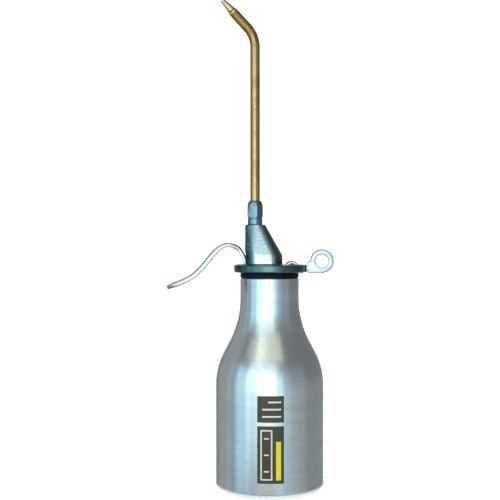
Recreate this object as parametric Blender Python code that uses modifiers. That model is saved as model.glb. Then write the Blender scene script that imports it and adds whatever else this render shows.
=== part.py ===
# Pump oil can: a turned aluminium flask with a cast pump head, a pressed
# steel lever, a swivelling brass spout and a spring-returned piston pump.
#
# Frame: metres, +Z up. The origin is the centre of the flask's flat base, the
# finger end of the lever points to -X and the hanging eye to +X.

import math

import bmesh
import bpy
from mathutils import Matrix, Vector

MM = 0.001

# Gaps shared by all pieces
SEAT_GAP = 0.25 * MM
RUNNING_GAP = 0.3 * MM
OVERRUN = 1.0 * MM

# Faces round a turned piece, large and small
LARGE_STEPS = 48
MEDIUM_STEPS = 32
SMALL_STEPS = 24
TINY_STEPS = 16
BORE_START = 2 * math.pi / SMALL_STEPS / 3

# Flask
FLASK_RADIUS = 34.0 * MM
FLASK_BODY_HEIGHT = 65.3 * MM
SHOULDER_HEIGHT = 54.7 * MM
NECK_HEIGHT = 12.3 * MM
NECK_RADIUS = 18.5 * MM
FLASK_WALL = 1.2 * MM
FLASK_FLOOR = 1.8 * MM
BASE_CORNER = 4.5 * MM
NECK_LIP = 0.4 * MM
SHOULDER_ARC_SHARE = 0.984
SHOULDER_CONVEX_SHARE = 0.437

# Gasket between the neck's edge and the head's flange
GASKET_THICKNESS = 3.0 * MM
GASKET_WIDTH = 1.5 * MM
GASKET_OVERHANG = 0.1 * MM
GASKET_EDGE = 0.5 * MM

# Cast head: flange and neck plug
FLANGE_RADIUS = 22.5 * MM
FLANGE_THICKNESS = 5.0 * MM
FLANGE_EDGE = 0.8 * MM
PLUG_CLEARANCE = 0.5 * MM
PLUG_LENGTH = 13.8 * MM
PLUG_CHAMFER = 1.0 * MM

# Cast head: oblique tower
TOWER_BASE_RADIUS = 11.9 * MM
TOWER_BASE_SETBACK = 3.7 * MM
TOWER_TOP_RADIUS = 6.4 * MM
TOWER_TOP_SETBACK = 9.1 * MM
TOWER_FOOT_HEIGHT = 5.8 * MM
TOWER_FLAT_SHARE = 0.9
TOWER_HEIGHT = 25.1 * MM
TOWER_EDGE = 0.5 * MM

# Lever: a steel strip with turned-down edges and two ears round its pivot
PIVOT_REACH = 13.95 * MM
PIVOT_DEPTH = 2.2 * MM
LEVER_REACH = 79.0 * MM
LEVER_RISE = 15.8 * MM
LEVER_STEEL = 1.7 * MM
LEVER_ARM_WIDTH = 9.3 * MM
LEVER_PAD_WIDTH = 13.6 * MM
LEVER_FLANGE = 1.5 * MM
LEVER_BEND = 1.5 * MM
LEVER_EDGE = 0.6 * MM
LEVER_CREASE = 0.4 * MM
LEVER_PRESS_ANGLE = math.radians(8.0)
LEVER_TIP_LENGTH = 7.0 * MM
LEVER_TIP_SHARE = 0.25
EAR_RADIUS = 4.5 * MM
EAR_DEPTH = 2.3 * MM
EAR_STEEL = 1.5 * MM
EAR_INSET = 0.1 * MM
EAR_ARM_LENGTH = 9.5 * MM
EAR_SEAM_SHARES = (0.3, 0.6)
EAR_DISH_RADIUS = 3.2 * MM
EAR_DISH_DEPTH = 0.4 * MM
PIN_RADIUS = 1.4 * MM
PIN_PROTRUSION = 0.4 * MM
PIN_CHAMFER = 0.25 * MM

# The strip's outer face from the pivot end to the finger end: shares of the
# reach to the left of the pivot, and of the rise above it
LEVER_PATH_SHARES = (
    (0.070, 0.082),
    (0.150, 0.082),
    (0.222, 0.082),
    (0.290, 0.083),
    (0.3215, 0.092),
    (0.3405, 0.128),
    (0.3560, 0.265),
    (0.3705, 0.510),
    (0.3920, 0.715),
    (0.4160, 0.856),
    (0.4400, 0.926),
    (0.4660, 0.975),
    (0.5000, 0.998),
    (0.5350, 0.990),
    (0.5720, 0.915),
    (0.6080, 0.785),
    (0.6560, 0.545),
    (0.7040, 0.240),
    (0.7520, -0.022),
    (0.8000, -0.240),
    (0.8480, -0.375),
    (0.8960, -0.482),
    (0.9440, -0.580),
    (1.0000, -0.705),
)
# How deep the strip's turned-down edges are along the path, as a share of the
# full flange
LEVER_FLANGE_SHARES = (
    (0.00, 0.00),
    (0.34, 0.00),
    (0.375, 0.75),
    (0.44, 0.75),
    (0.50, 0.50),
    (0.56, 0.75),
    (0.64, 1.00),
    (0.92, 1.00),
    (1.00, 0.55),
)
# How far along the path the strip has widened from the arm to the finger pad
LEVER_WIDTH_SHARES = (
    (0.00, 0.00),
    (0.38, 0.00),
    (0.50, 0.45),
    (0.70, 0.75),
    (0.88, 1.00),
    (1.00, 1.00),
)
LEVER_STATIONS = 44
LEVER_BEND_STEPS = 3

# Lever slot in the head
SLOT_CLEARANCE = 0.35 * MM
SLOT_SINK = 1.5 * MM
SLOT_FLANGE_FLOOR = 0.7 * MM
SLOT_MOUTH_SLOPE = 2.2 * MM
SLOT_STEP_SLOPE = 1.6 * MM
# The passage's bends, as shares of the lever's reach and rise that it clears
SLOT_MOUTH_SHARE = 0.429
SLOT_STEP_SHARE = 0.376
SLOT_ROOF_SHARES = (
    (0.3165, 0.120),
    (0.3380, 0.1835),
    (0.3633, 0.595),
    (0.3755, 0.640),
    (0.3850, 0.800),
    (0.4100, 0.940),
    (0.4500, 1.040),
    (0.5000, 1.080),
)

# Hanging eye: a plate pressed into a slotted lug on the flange
EYE_TAB_LENGTH = 1.75 * MM
EYE_RISE = 2.1 * MM
EYE_RADIUS = 7.4 * MM
EYE_HOLE_RADIUS = 4.1 * MM
EYE_PLATE = 2.2 * MM
EYE_PLATE_EDGE = 0.25 * MM
EYE_TONGUE_LENGTH = 3.6 * MM
EYE_TONGUE_HEIGHT = 2.8 * MM
LUG_REACH = 23.7 * MM
LUG_WIDTH = 8.0 * MM
LUG_GUSSET_DROP = 1.5 * MM
LUG_GUSSET_LENGTH = 3.2 * MM
LUG_GUSSET_WIDTH = 3.0 * MM

# Pump: barrel, plunger and gland below the lever, on one upright axis
PUMP_SETBACK = 3.7 * MM
BARREL_RADIUS = 8.0 * MM
BARREL_BORE_RADIUS = 6.5 * MM
BARREL_LENGTH = 39.0 * MM
BARREL_SOCKET_DEPTH = 6.0 * MM
BARREL_SEAL_THICKNESS = 1.2 * MM
BOSS_WALL = 2.6 * MM
BOSS_LENGTH = 7.5 * MM
ROD_RADIUS = 1.9 * MM
BUTTON_RADIUS = 3.6 * MM
BUTTON_HEIGHT = 2.2 * MM
BUTTON_DOME = 0.9 * MM
POCKET_RADIUS = 4.7 * MM
POCKET_DEPTH = 4.4 * MM
NUT_CORNER_RADIUS = 4.2 * MM
NUT_HEIGHT = 2.2 * MM
NUT_SHANK_RADIUS = 3.0 * MM
NUT_SHANK_LENGTH = 4.0 * MM
PACKING_HEIGHT = 2.0 * MM
GLAND_WEB = 1.8 * MM
PISTON_DROP = 4.2 * MM
PISTON_HEIGHT = 5.0 * MM
PISTON_HUB_RADIUS = 4.0 * MM
CUP_HEIGHT = 3.6 * MM
CUP_LIP = 0.8 * MM
ROD_TAIL = 3.0 * MM
RETURN_WIRE = 1.0 * MM
RETURN_COIL_RADIUS = 4.6 * MM
RETURN_TURNS = 6
RETURN_END_SHARE = 0.1

# Foot valve, hose and strainer
VALVE_HEAD_LENGTH = 8.0 * MM
VALVE_FLANGE_HEIGHT = 3.0 * MM
VALVE_CHAMBER_RADIUS = 3.1 * MM
VALVE_CHAMBER_DEPTH = 5.4 * MM
VALVE_PORT_RADIUS = 1.4 * MM
FOOT_BALL_RADIUS = 2.3 * MM
FOOT_BALL_LIFT = 0.8 * MM
RETAINER_HEIGHT = 1.2 * MM
RETAINER_HOLE_RADIUS = 0.9 * MM
RETAINER_HOLE_CIRCLE = 2.1 * MM
RETAINER_HOLES = 4
BARB_RADIUS = 2.6 * MM
BARB_LENGTH = 10.0 * MM
BARB_RIDGE = 0.35 * MM
BARB_RIDGES = 3
HOSE_RADIUS = 4.2 * MM
HOSE_BORE_RADIUS = 3.2 * MM
STRAINER_RADIUS = 5.6 * MM
STRAINER_HEIGHT = 12.0 * MM
STRAINER_FLOOR_GAP = 0.8 * MM
STRAINER_BORE_RADIUS = 3.4 * MM
STRAINER_SLOTS = 6
STRAINER_SLOT_WIDTH = 1.4 * MM
STRAINER_SLOT_HEIGHT = 6.0 * MM

# Delivery valve in the tower, and the oil gallery beside the lever slot
DELIVERY_BORE_RADIUS = 3.1 * MM
DELIVERY_DEPTH = 14.0 * MM
DELIVERY_BALL_RADIUS = 2.1 * MM
DELIVERY_BALL_LIFT = 0.8 * MM
DELIVERY_PORT_RADIUS = 1.4 * MM
DELIVERY_PORT_DEPTH = 1.6 * MM
DELIVERY_WIRE = 0.45 * MM
DELIVERY_COIL_RADIUS = 2.1 * MM
DELIVERY_TURNS = 4
DELIVERY_END_SHARE = 0.25
GALLERY_RADIUS = 1.1 * MM
GALLERY_OFFSET = 8.2 * MM
GALLERY_KNEE_SHARE = 0.35
GALLERY_EXIT_SHARE = 0.75

# Spout: nipple, tube and nozzle
NIPPLE_RADIUS = 5.05 * MM
NIPPLE_FLAT_RADIUS = 4.45 * MM
NIPPLE_HEIGHT = 14.8 * MM
NIPPLE_COLLAR_HEIGHT = 3.6 * MM
NIPPLE_GROOVE_HEIGHT = 0.7 * MM
NIPPLE_GROOVE_DEPTH = 0.35 * MM
NIPPLE_SHOULDER_HEIGHT = 4.4 * MM
NIPPLE_TOP_RADIUS = 3.75 * MM
NIPPLE_SOCKET_DEPTH = 8.5 * MM
NIPPLE_TURN = math.radians(-15.0)
NIPPLE_BORE_RADIUS = 1.5 * MM
SPIGOT_RADIUS = 3.6 * MM
SPIGOT_LENGTH = 5.0 * MM
WASHER_RADIUS = 4.9 * MM
WASHER_THICKNESS = 1.0 * MM
TUBE_RADIUS = 3.05 * MM
TUBE_BORE_RADIUS = 2.3 * MM
TUBE_STRAIGHT = 96.8 * MM
BEND_RADIUS = 18.3 * MM
BEND_ANGLE = math.radians(42.3)
TUBE_END_RUN = 12.2 * MM
COLLAR_RADIUS = 3.45 * MM
COLLAR_LENGTH = 4.0 * MM
COLLAR_EDGE = 0.9 * MM
CONE_BASE_RADIUS = 1.95 * MM
CONE_TIP_RADIUS = 1.35 * MM
CONE_LENGTH = 7.6 * MM
NOZZLE_SPIGOT_LENGTH = 5.0 * MM
NOZZLE_BORE_RADIUS = 0.7 * MM

# Levels that follow from the sizes above
NECK_TOP = FLASK_BODY_HEIGHT + SHOULDER_HEIGHT + NECK_HEIGHT
GASKET_BOTTOM = NECK_TOP + SEAT_GAP
FLANGE_BOTTOM = GASKET_BOTTOM + GASKET_THICKNESS + SEAT_GAP
FLANGE_TOP = FLANGE_BOTTOM + FLANGE_THICKNESS
TOWER_TOP = FLANGE_TOP + TOWER_HEIGHT
NECK_BORE_RADIUS = NECK_RADIUS - FLASK_WALL
PLUG_RADIUS = NECK_BORE_RADIUS - PLUG_CLEARANCE
PLUG_BOTTOM = FLANGE_BOTTOM - PLUG_LENGTH
GASKET_OUTER_RADIUS = NECK_RADIUS - GASKET_OVERHANG
GASKET_INNER_RADIUS = GASKET_OUTER_RADIUS - GASKET_WIDTH
PIVOT_HEIGHT = FLANGE_TOP - PIVOT_DEPTH
ARM_TOP = PIVOT_HEIGHT + LEVER_RISE * LEVER_PATH_SHARES[0][1]
ARM_BOTTOM = ARM_TOP - LEVER_STEEL
SLOT_HALF_WIDTH = LEVER_ARM_WIDTH / 2 + SLOT_CLEARANCE
SLOT_END = EAR_RADIUS + 2 * SLOT_CLEARANCE
PUMP_ARM_LENGTH = PIVOT_REACH + PUMP_SETBACK
PLUNGER_STROKE = PUMP_ARM_LENGTH * math.tan(LEVER_PRESS_ANGLE)
SLOT_FLOOR = ARM_BOTTOM - PLUNGER_STROKE - SLOT_SINK
BUTTON_TOP = ARM_BOTTOM - RUNNING_GAP
BUTTON_BOTTOM = BUTTON_TOP - BUTTON_HEIGHT
NUT_TOP = BUTTON_BOTTOM - PLUNGER_STROKE - RUNNING_GAP
NUT_BOTTOM = NUT_TOP - NUT_HEIGHT
POCKET_FLOOR = NUT_BOTTOM - SEAT_GAP
SHANK_BOTTOM = NUT_BOTTOM - NUT_SHANK_LENGTH
PACKING_TOP = SHANK_BOTTOM - SEAT_GAP
PACKING_BOTTOM = PACKING_TOP - PACKING_HEIGHT
GLAND_FLOOR = PACKING_BOTTOM - SEAT_GAP
SOCKET_CEILING = GLAND_FLOOR - GLAND_WEB
SEAL_TOP = SOCKET_CEILING - SEAT_GAP
SEAL_BOTTOM = SEAL_TOP - BARREL_SEAL_THICKNESS
BARREL_TOP = SEAL_BOTTOM - SEAT_GAP
BARREL_BOTTOM = BARREL_TOP - BARREL_LENGTH
BOSS_BOTTOM = SOCKET_CEILING - BARREL_SOCKET_DEPTH
BOSS_RADIUS = BARREL_RADIUS + SEAT_GAP + BOSS_WALL
PISTON_TOP = SOCKET_CEILING - PISTON_DROP
PISTON_BOTTOM = PISTON_TOP - PISTON_HEIGHT
PISTON_RADIUS = BARREL_BORE_RADIUS - RUNNING_GAP
CUP_TOP = PISTON_TOP + SEAT_GAP + CUP_HEIGHT
VALVE_TOP = BARREL_BOTTOM + VALVE_HEAD_LENGTH
VALVE_FLANGE_BOTTOM = BARREL_BOTTOM - SEAT_GAP - VALVE_FLANGE_HEIGHT
CHAMBER_FLOOR = VALVE_TOP - VALVE_CHAMBER_DEPTH
BARB_BOTTOM = VALVE_FLANGE_BOTTOM - BARB_LENGTH
HOSE_TOP = VALVE_FLANGE_BOTTOM - SEAT_GAP
STRAINER_BOTTOM = FLASK_FLOOR + STRAINER_FLOOR_GAP
STRAINER_TOP = STRAINER_BOTTOM + STRAINER_HEIGHT
HOSE_BOTTOM = STRAINER_TOP + SEAT_GAP
NIPPLE_BOTTOM = TOWER_TOP + SEAT_GAP
NIPPLE_TOP = NIPPLE_BOTTOM + NIPPLE_HEIGHT
SPIGOT_BOTTOM = NIPPLE_BOTTOM - SPIGOT_LENGTH
WASHER_TOP = TOWER_TOP - SEAT_GAP
DELIVERY_FLOOR = TOWER_TOP - DELIVERY_DEPTH
TUBE_BOTTOM = NIPPLE_TOP - NIPPLE_SOCKET_DEPTH + SEAT_GAP
BEND_START = NIPPLE_TOP + TUBE_STRAIGHT

# Colours, roughness and metallic value of each finish
FINISHES = {
    "spun_aluminium": ((0.47, 0.53, 0.56, 1.0), 0.38, 1.0),
    "black_rubber": ((0.02, 0.02, 0.025, 1.0), 0.45, 0.0),
    "cast_zinc": ((0.12, 0.19, 0.20, 1.0), 0.35, 1.0),
    "zinc_plate": ((0.62, 0.67, 0.72, 1.0), 0.28, 1.0),
    "pin_steel": ((0.20, 0.21, 0.23, 1.0), 0.35, 1.0),
    "nickel_plate": ((0.40, 0.50, 0.55, 1.0), 0.30, 1.0),
    "brass": ((0.52, 0.37, 0.12, 1.0), 0.28, 1.0),
    "pale_brass": ((0.72, 0.55, 0.34, 1.0), 0.30, 1.0),
    "spring_steel": ((0.45, 0.46, 0.48, 1.0), 0.30, 1.0),
    "fibre": ((0.30, 0.10, 0.06, 1.0), 0.80, 0.0),
    "leather": ((0.23, 0.12, 0.06, 1.0), 0.75, 0.0),
    "hose_plastic": ((0.70, 0.72, 0.66, 1.0), 0.40, 0.0),
}


def clear_scene():
    for old in list(bpy.data.objects):
        bpy.data.objects.remove(old, do_unlink=True)


def make_collection(name):
    collection = bpy.data.collections.new(name)
    bpy.context.scene.collection.children.link(collection)
    return collection


def make_materials():
    materials = {}
    for name, (colour, roughness, metallic) in FINISHES.items():
        material = bpy.data.materials.new(name)
        material.use_nodes = True
        shader = material.node_tree.nodes["Principled BSDF"]
        shader.inputs["Base Color"].default_value = colour
        shader.inputs["Roughness"].default_value = roughness
        shader.inputs["Metallic"].default_value = metallic
        materials[name] = material
    return materials


clear_scene()
PARTS = make_collection("pump_oil_can")
CUTTERS = make_collection("cutters")
MATERIALS = make_materials()


# Objects

def add_object(name, mesh, location, finish):
    """A part of the can; with no finish it is a cutter or a piece to be joined."""
    obj = bpy.data.objects.new(name, mesh)
    obj.location = location
    if finish:
        PARTS.objects.link(obj)
        obj.data.materials.append(MATERIALS[finish])
    else:
        CUTTERS.objects.link(obj)
        obj.hide_render = True
        obj.display_type = "WIRE"
    return obj


def smooth(mesh, angle=math.radians(35.0)):
    mesh.shade_smooth()
    mesh.set_sharp_from_angle(angle=angle)


def mesh_from(bm, name):
    mesh = bpy.data.meshes.new(name)
    bm.to_mesh(mesh)
    bm.free()
    smooth(mesh)
    return mesh


def turned(name, profile, location, finish=None, steps=MEDIUM_STEPS, closed=False, start=0.0):
    """Turn a profile of (radius, height) points about the upright axis.

    The profile runs down the outer side, top to bottom. A closed profile is a
    ring's section, and an open one starts and ends on the axis. The start is the
    first section's angle, which keeps a bore's corners off those of its boss.
    """
    bm = bmesh.new()
    across, deep = math.cos(start), math.sin(start)
    corners = [
        bm.verts.new((radius * across, radius * deep, height)) for radius, height in profile
    ]
    for first, second in zip(corners, corners[1:]):
        bm.edges.new((first, second))
    if closed:
        bm.edges.new((corners[-1], corners[0]))
    obj = add_object(name, mesh_from(bm, name), location, finish)
    screw = obj.modifiers.new("turn", "SCREW")
    screw.steps = steps
    screw.render_steps = steps
    screw.use_merge_vertices = True
    screw.merge_threshold = OVERRUN / 100
    screw.use_smooth_shade = True
    return obj


def prism(name, outline, low, high, location, finish=None):
    """Extrude an outline of (x, z) points along Y from low to high."""
    bm = bmesh.new()
    face = bm.faces.new([bm.verts.new((x, low, z)) for x, z in outline])
    side = bmesh.ops.extrude_face_region(bm, geom=[face])
    moved = [item for item in side["geom"] if isinstance(item, bmesh.types.BMVert)]
    bmesh.ops.translate(bm, verts=moved, vec=(0.0, high - low, 0.0))
    bmesh.ops.recalc_face_normals(bm, faces=bm.faces)
    return add_object(name, mesh_from(bm, name), location, finish)


def rod(name, start, end, radius, steps=SMALL_STEPS):
    """A plain round rod between two points, for cuts and joins."""
    start, end = Vector(start), Vector(end)
    run = end - start
    bm = bmesh.new()
    bmesh.ops.create_cone(
        bm, cap_ends=True, segments=steps,
        radius1=radius, radius2=radius, depth=run.length,
    )
    turn = run.to_track_quat("Z", "Y").to_matrix().to_4x4()
    bmesh.ops.transform(bm, matrix=Matrix.Translation(run / 2) @ turn, verts=bm.verts)
    return add_object(name, mesh_from(bm, name), start, None)


def modify(obj, name, kind, **values):
    modifier = obj.modifiers.new(name, kind)
    for key, value in values.items():
        setattr(modifier, key, value)
    return modifier


def cut(obj, tool):
    modify(obj, "cut " + tool.name, "BOOLEAN", operation="DIFFERENCE", object=tool)


def join(obj, piece):
    modify(obj, "join " + piece.name, "BOOLEAN", operation="UNION", object=piece)


def tube_from(name, points, radius, location, finish=None, resolution=2):
    """A round bar along a line of points, as a closed mesh."""
    curve = bpy.data.curves.new(name + "_line", "CURVE")
    curve.dimensions = "3D"
    curve.bevel_depth = radius
    curve.bevel_resolution = resolution
    curve.use_fill_caps = True
    spline = curve.splines.new("POLY")
    spline.points.add(len(points) - 1)
    for place, point in zip(spline.points, points):
        place.co = (*point, 1.0)
    guide = bpy.data.objects.new(name + "_guide", curve)
    CUTTERS.objects.link(guide)
    evaluated = guide.evaluated_get(bpy.context.evaluated_depsgraph_get())
    mesh = bpy.data.meshes.new_from_object(evaluated)
    bpy.data.objects.remove(guide, do_unlink=True)
    bm = bmesh.new()
    bm.from_mesh(mesh)
    bmesh.ops.remove_doubles(bm, verts=bm.verts, dist=OVERRUN / 1000)
    bm.to_mesh(mesh)
    bm.free()
    mesh.name = name
    mesh.materials.clear()
    smooth(mesh)
    return add_object(name, mesh, location, finish)


# Outline helpers

def arc(centre, radius, start, end, pieces):
    """Points on an arc from angle start to angle end, both in radians."""
    points = []
    for index in range(pieces + 1):
        angle = start + (end - start) * index / pieces
        across = centre[0] + radius * math.cos(angle)
        up = centre[1] + radius * math.sin(angle)
        points.append((across, up))
    return points


def along(table, share):
    """The value that a table of (share along, value) pairs gives at a share."""
    for (start, low), (end, high) in zip(table, table[1:]):
        if share <= end:
            ease = (share - start) / (end - start)
            ease = ease * ease * (3 - 2 * ease)
            return low + (high - low) * ease
    return table[-1][1]


def smooth_path(points, count):
    """Points spread evenly by length along a smooth curve through the given ones."""
    ends = [
        points[0] * 2 - points[1],
        *points,
        points[-1] * 2 - points[-2],
    ]
    fine = []
    pieces = 12
    for before, start, end, after in zip(ends, ends[1:], ends[2:], ends[3:]):
        for index in range(pieces):
            t = index / pieces
            fine.append(
                (
                    start * 2
                    + (end - before) * t
                    + (before * 2 - start * 5 + end * 4 - after) * t ** 2
                    + (start * 3 - before - end * 3 + after) * t ** 3
                )
                / 2
            )
    fine.append(points[-1])
    lengths = [0.0]
    for first, second in zip(fine, fine[1:]):
        lengths.append(lengths[-1] + (second - first).length)
    spread = []
    place = 0
    for index in range(count):
        wanted = lengths[-1] * index / (count - 1)
        while place < len(fine) - 2 and lengths[place + 1] < wanted:
            place += 1
        share = (wanted - lengths[place]) / (lengths[place + 1] - lengths[place])
        spread.append(fine[place].lerp(fine[place + 1], share))
    return spread


# Flask

def shoulder_outline(inset):
    """Two arcs and the cone between them, from the body up to the neck.

    The inset moves the whole outline inwards by a wall.
    """
    fall = FLASK_RADIUS - NECK_RADIUS
    widest = (SHOULDER_HEIGHT ** 2 + fall ** 2) / (2 * fall)
    arcs = widest * SHOULDER_ARC_SHARE
    span = math.hypot(SHOULDER_HEIGHT, arcs - fall)
    slope = math.atan2(SHOULDER_HEIGHT, arcs - fall) - math.acos(arcs / span)
    convex = arcs * SHOULDER_CONVEX_SHARE
    concave = arcs - convex
    low = (FLASK_RADIUS - convex, FLASK_BODY_HEIGHT)
    high = (NECK_RADIUS + concave, FLASK_BODY_HEIGHT + SHOULDER_HEIGHT)
    points = arc(low, convex - inset, 0.0, slope, 5)
    points += arc(high, concave + inset, math.pi + slope, math.pi, 6)
    return points


def make_flask():
    base = (FLASK_RADIUS - BASE_CORNER, BASE_CORNER)
    outer = [(0.0, 0.0)]
    outer += arc(base, BASE_CORNER, -math.pi / 2, 0.0, 5)
    outer += shoulder_outline(0.0)
    outer += arc((NECK_RADIUS - NECK_LIP, NECK_TOP - NECK_LIP), NECK_LIP, 0.0, math.pi / 2, 2)
    inner_corner = BASE_CORNER - FLASK_WALL
    inner_base = (FLASK_RADIUS - BASE_CORNER, FLASK_FLOOR + inner_corner)
    inner = [(0.0, FLASK_FLOOR)]
    inner += arc(inner_base, inner_corner, -math.pi / 2, 0.0, 3)
    inner += shoulder_outline(FLASK_WALL)
    inner += [(NECK_BORE_RADIUS, NECK_TOP)]
    profile = inner + outer[::-1]
    turned("flask", profile, (0.0, 0.0, 0.0), "spun_aluminium", LARGE_STEPS)


def make_gasket():
    half = GASKET_THICKNESS / 2
    bulge = GASKET_OUTER_RADIUS - GASKET_EDGE
    profile = [(GASKET_INNER_RADIUS, 2 * half)]
    profile += arc((bulge, 2 * half - GASKET_EDGE), GASKET_EDGE, math.pi / 2, 0.0, 2)
    profile += arc((bulge, GASKET_EDGE), GASKET_EDGE, 0.0, -math.pi / 2, 2)
    profile += [(GASKET_INNER_RADIUS, 0.0)]
    turned(
        "neck_gasket", profile, (0.0, 0.0, GASKET_BOTTOM),
        "black_rubber", LARGE_STEPS, closed=True,
    )


# Cast head

def make_flange_and_plug():
    rim = FLANGE_RADIUS - FLANGE_EDGE
    profile = [(0.0, FLANGE_TOP)]
    profile += arc((rim, FLANGE_TOP - FLANGE_EDGE), FLANGE_EDGE, math.pi / 2, 0.0, 3)
    profile += arc((rim, FLANGE_BOTTOM + FLANGE_EDGE), FLANGE_EDGE, 0.0, -math.pi / 2, 3)
    profile += [
        (PLUG_RADIUS, FLANGE_BOTTOM),
        (PLUG_RADIUS, PLUG_BOTTOM + PLUG_CHAMFER),
        (PLUG_RADIUS - PLUG_CHAMFER, PLUG_BOTTOM),
        (0.0, PLUG_BOTTOM),
    ]
    return turned("pump_head", profile, (0.0, 0.0, 0.0), "cast_zinc", LARGE_STEPS)


def flatted_ring(bm, radius, setback, height):
    """Vertices round a level circle whose front and back are cut flat."""
    edge = math.asin(TOWER_FLAT_SHARE)
    steps = 2 * (LARGE_STEPS // 6) + 1
    turns = [edge * (2 * step / steps - 1) for step in range(steps + 1)]
    turns += [math.pi + turn for turn in turns]
    return [
        bm.verts.new((radius * math.cos(turn) - setback, radius * math.sin(turn), height))
        for turn in turns
    ]


def make_tower():
    """An upright foot that leans over into a smaller top, both round with a flat
    at the front and the back.
    """
    sink = FLANGE_THICKNESS / 2
    foot = FLANGE_TOP + TOWER_FOOT_HEIGHT
    bm = bmesh.new()
    rings = [
        flatted_ring(bm, TOWER_BASE_RADIUS, TOWER_BASE_SETBACK, FLANGE_TOP - sink),
        flatted_ring(bm, TOWER_BASE_RADIUS, TOWER_BASE_SETBACK, foot),
        flatted_ring(bm, TOWER_TOP_RADIUS, TOWER_TOP_SETBACK, TOWER_TOP),
    ]
    for low, high in zip(rings, rings[1:]):
        for first in range(len(low)):
            second = (first + 1) % len(low)
            bm.faces.new((low[first], low[second], high[second], high[first]))
    bm.faces.new(rings[0][::-1])
    bm.faces.new(rings[-1])
    rim = [edge for edge in bm.edges if all(vert in rings[-1] for vert in edge.verts)]
    bmesh.ops.bevel(
        bm, geom=rim, offset=TOWER_EDGE, segments=2, profile=0.5, affect="EDGES",
    )
    bmesh.ops.triangulate(bm, faces=bm.faces)
    bmesh.ops.recalc_face_normals(bm, faces=bm.faces)
    return add_object("tower", mesh_from(bm, "tower"), (0.0, 0.0, 0.0), None)


def make_barrel_boss():
    sink = PLUG_LENGTH / 2
    chamfer = PLUG_CHAMFER / 2
    profile = [
        (0.0, PLUG_BOTTOM + sink),
        (BOSS_RADIUS, PLUG_BOTTOM + sink),
        (BOSS_RADIUS, BOSS_BOTTOM + chamfer),
        (BOSS_RADIUS - chamfer, BOSS_BOTTOM),
        (0.0, BOSS_BOTTOM),
    ]
    return turned("barrel_boss", profile, (-PUMP_SETBACK, 0.0, 0.0), steps=MEDIUM_STEPS)


def make_eye_lug():
    """The flat-ended pad on the rim that holds the hanging eye."""
    edge = FLANGE_EDGE
    inner = FLANGE_RADIUS / 2
    outline = [(inner, FLANGE_BOTTOM)]
    outline += arc((LUG_REACH - edge, FLANGE_BOTTOM + edge), edge, -math.pi / 2, 0.0, 3)
    outline += arc((LUG_REACH - edge, FLANGE_TOP - edge), edge, 0.0, math.pi / 2, 3)
    outline += [(inner, FLANGE_TOP)]
    return prism("eye_lug", outline, -LUG_WIDTH / 2, LUG_WIDTH / 2, (0.0, 0.0, 0.0))


def make_lug_gusset():
    """The small curved web under the lug, outside the gasket."""
    end = LUG_REACH - FLANGE_EDGE
    start = end - LUG_GUSSET_LENGTH
    rise = FLANGE_BOTTOM + FLANGE_THICKNESS / 4
    hollow = (end, FLANGE_BOTTOM - LUG_GUSSET_DROP)
    outline = [(start, rise), (start, FLANGE_BOTTOM - LUG_GUSSET_DROP)]
    for across, up in arc((0.0, 0.0), 1.0, math.pi, math.pi / 2, 5)[1:]:
        outline.append(
            (hollow[0] + across * LUG_GUSSET_LENGTH, hollow[1] + up * LUG_GUSSET_DROP)
        )
    outline.append((end, rise))
    half = LUG_GUSSET_WIDTH / 2
    return prism("lug_gusset", outline, -half, half, (0.0, 0.0, 0.0))


def make_pivot_lug():
    """The rounded post between the lever's ears."""
    radius = EAR_RADIUS - 2 * RUNNING_GAP
    half = LEVER_ARM_WIDTH / 2 - EAR_INSET - EAR_STEEL - RUNNING_GAP
    outline = arc((0.0, 0.0), radius, 0.0, math.pi, 12)
    outline += [(-radius, -PIVOT_DEPTH), (radius, -PIVOT_DEPTH)]
    place = (PIVOT_REACH, 0.0, PIVOT_HEIGHT)
    return prism("pivot_lug", outline, -half, half, place)


def make_lever_slot():
    """The passage that the lever's arm swings in, from the rim to the ears."""
    above = FLANGE_TOP + TOWER_FOOT_HEIGHT
    floor = FLANGE_BOTTOM + SLOT_FLANGE_FLOOR
    mouth = PIVOT_REACH - LEVER_REACH * SLOT_MOUTH_SHARE
    step = PIVOT_REACH - LEVER_REACH * SLOT_STEP_SHARE
    end = PIVOT_REACH - SLOT_END
    roof = [
        (PIVOT_REACH - LEVER_REACH * reach, PIVOT_HEIGHT + LEVER_RISE * rise)
        for reach, rise in SLOT_ROOF_SHARES
    ]
    inner = TOWER_BASE_RADIUS - TOWER_BASE_SETBACK + RUNNING_GAP
    outline = [
        (mouth, FLANGE_TOP),
        (mouth + SLOT_MOUTH_SLOPE, floor),
        (step, floor),
        (step + SLOT_STEP_SLOPE, SLOT_FLOOR),
        (end, SLOT_FLOOR),
        (end, above),
        (inner, above),
        (inner, roof[0][1]),
        *roof,
    ]
    return prism("lever_slot", outline, -SLOT_HALF_WIDTH, SLOT_HALF_WIDTH, (0.0, 0.0, 0.0))


def make_ear_pocket(side):
    """The pocket beside the pivot lug for one of the lever's ears."""
    inner = LEVER_ARM_WIDTH / 2 - EAR_INSET - EAR_STEEL - RUNNING_GAP
    outer = LEVER_ARM_WIDTH / 2 + PIN_PROTRUSION + SLOT_CLEARANCE
    wide = EAR_RADIUS + SLOT_CLEARANCE
    deep = EAR_DEPTH + SLOT_CLEARANCE / 2
    dip = EAR_RADIUS * math.sin(LEVER_PRESS_ANGLE)
    top = PIVOT_DEPTH + EAR_RADIUS
    outline = [(wide, top)]
    for across, up in arc((0.0, 0.0), 1.0, 0.0, -math.pi / 2, 6):
        outline.append((across * wide, up * deep))
    outline += [
        (-EAR_RADIUS / 2, -deep - dip),
        (-SLOT_END - OVERRUN, -deep - 2 * dip),
        (-SLOT_END - OVERRUN, top),
    ]
    low, high = sorted((side * inner, side * outer))
    name = "ear_pocket_front" if side < 0 else "ear_pocket_back"
    return prism(name, outline, low, high, (PIVOT_REACH, 0.0, PIVOT_HEIGHT))


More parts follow.
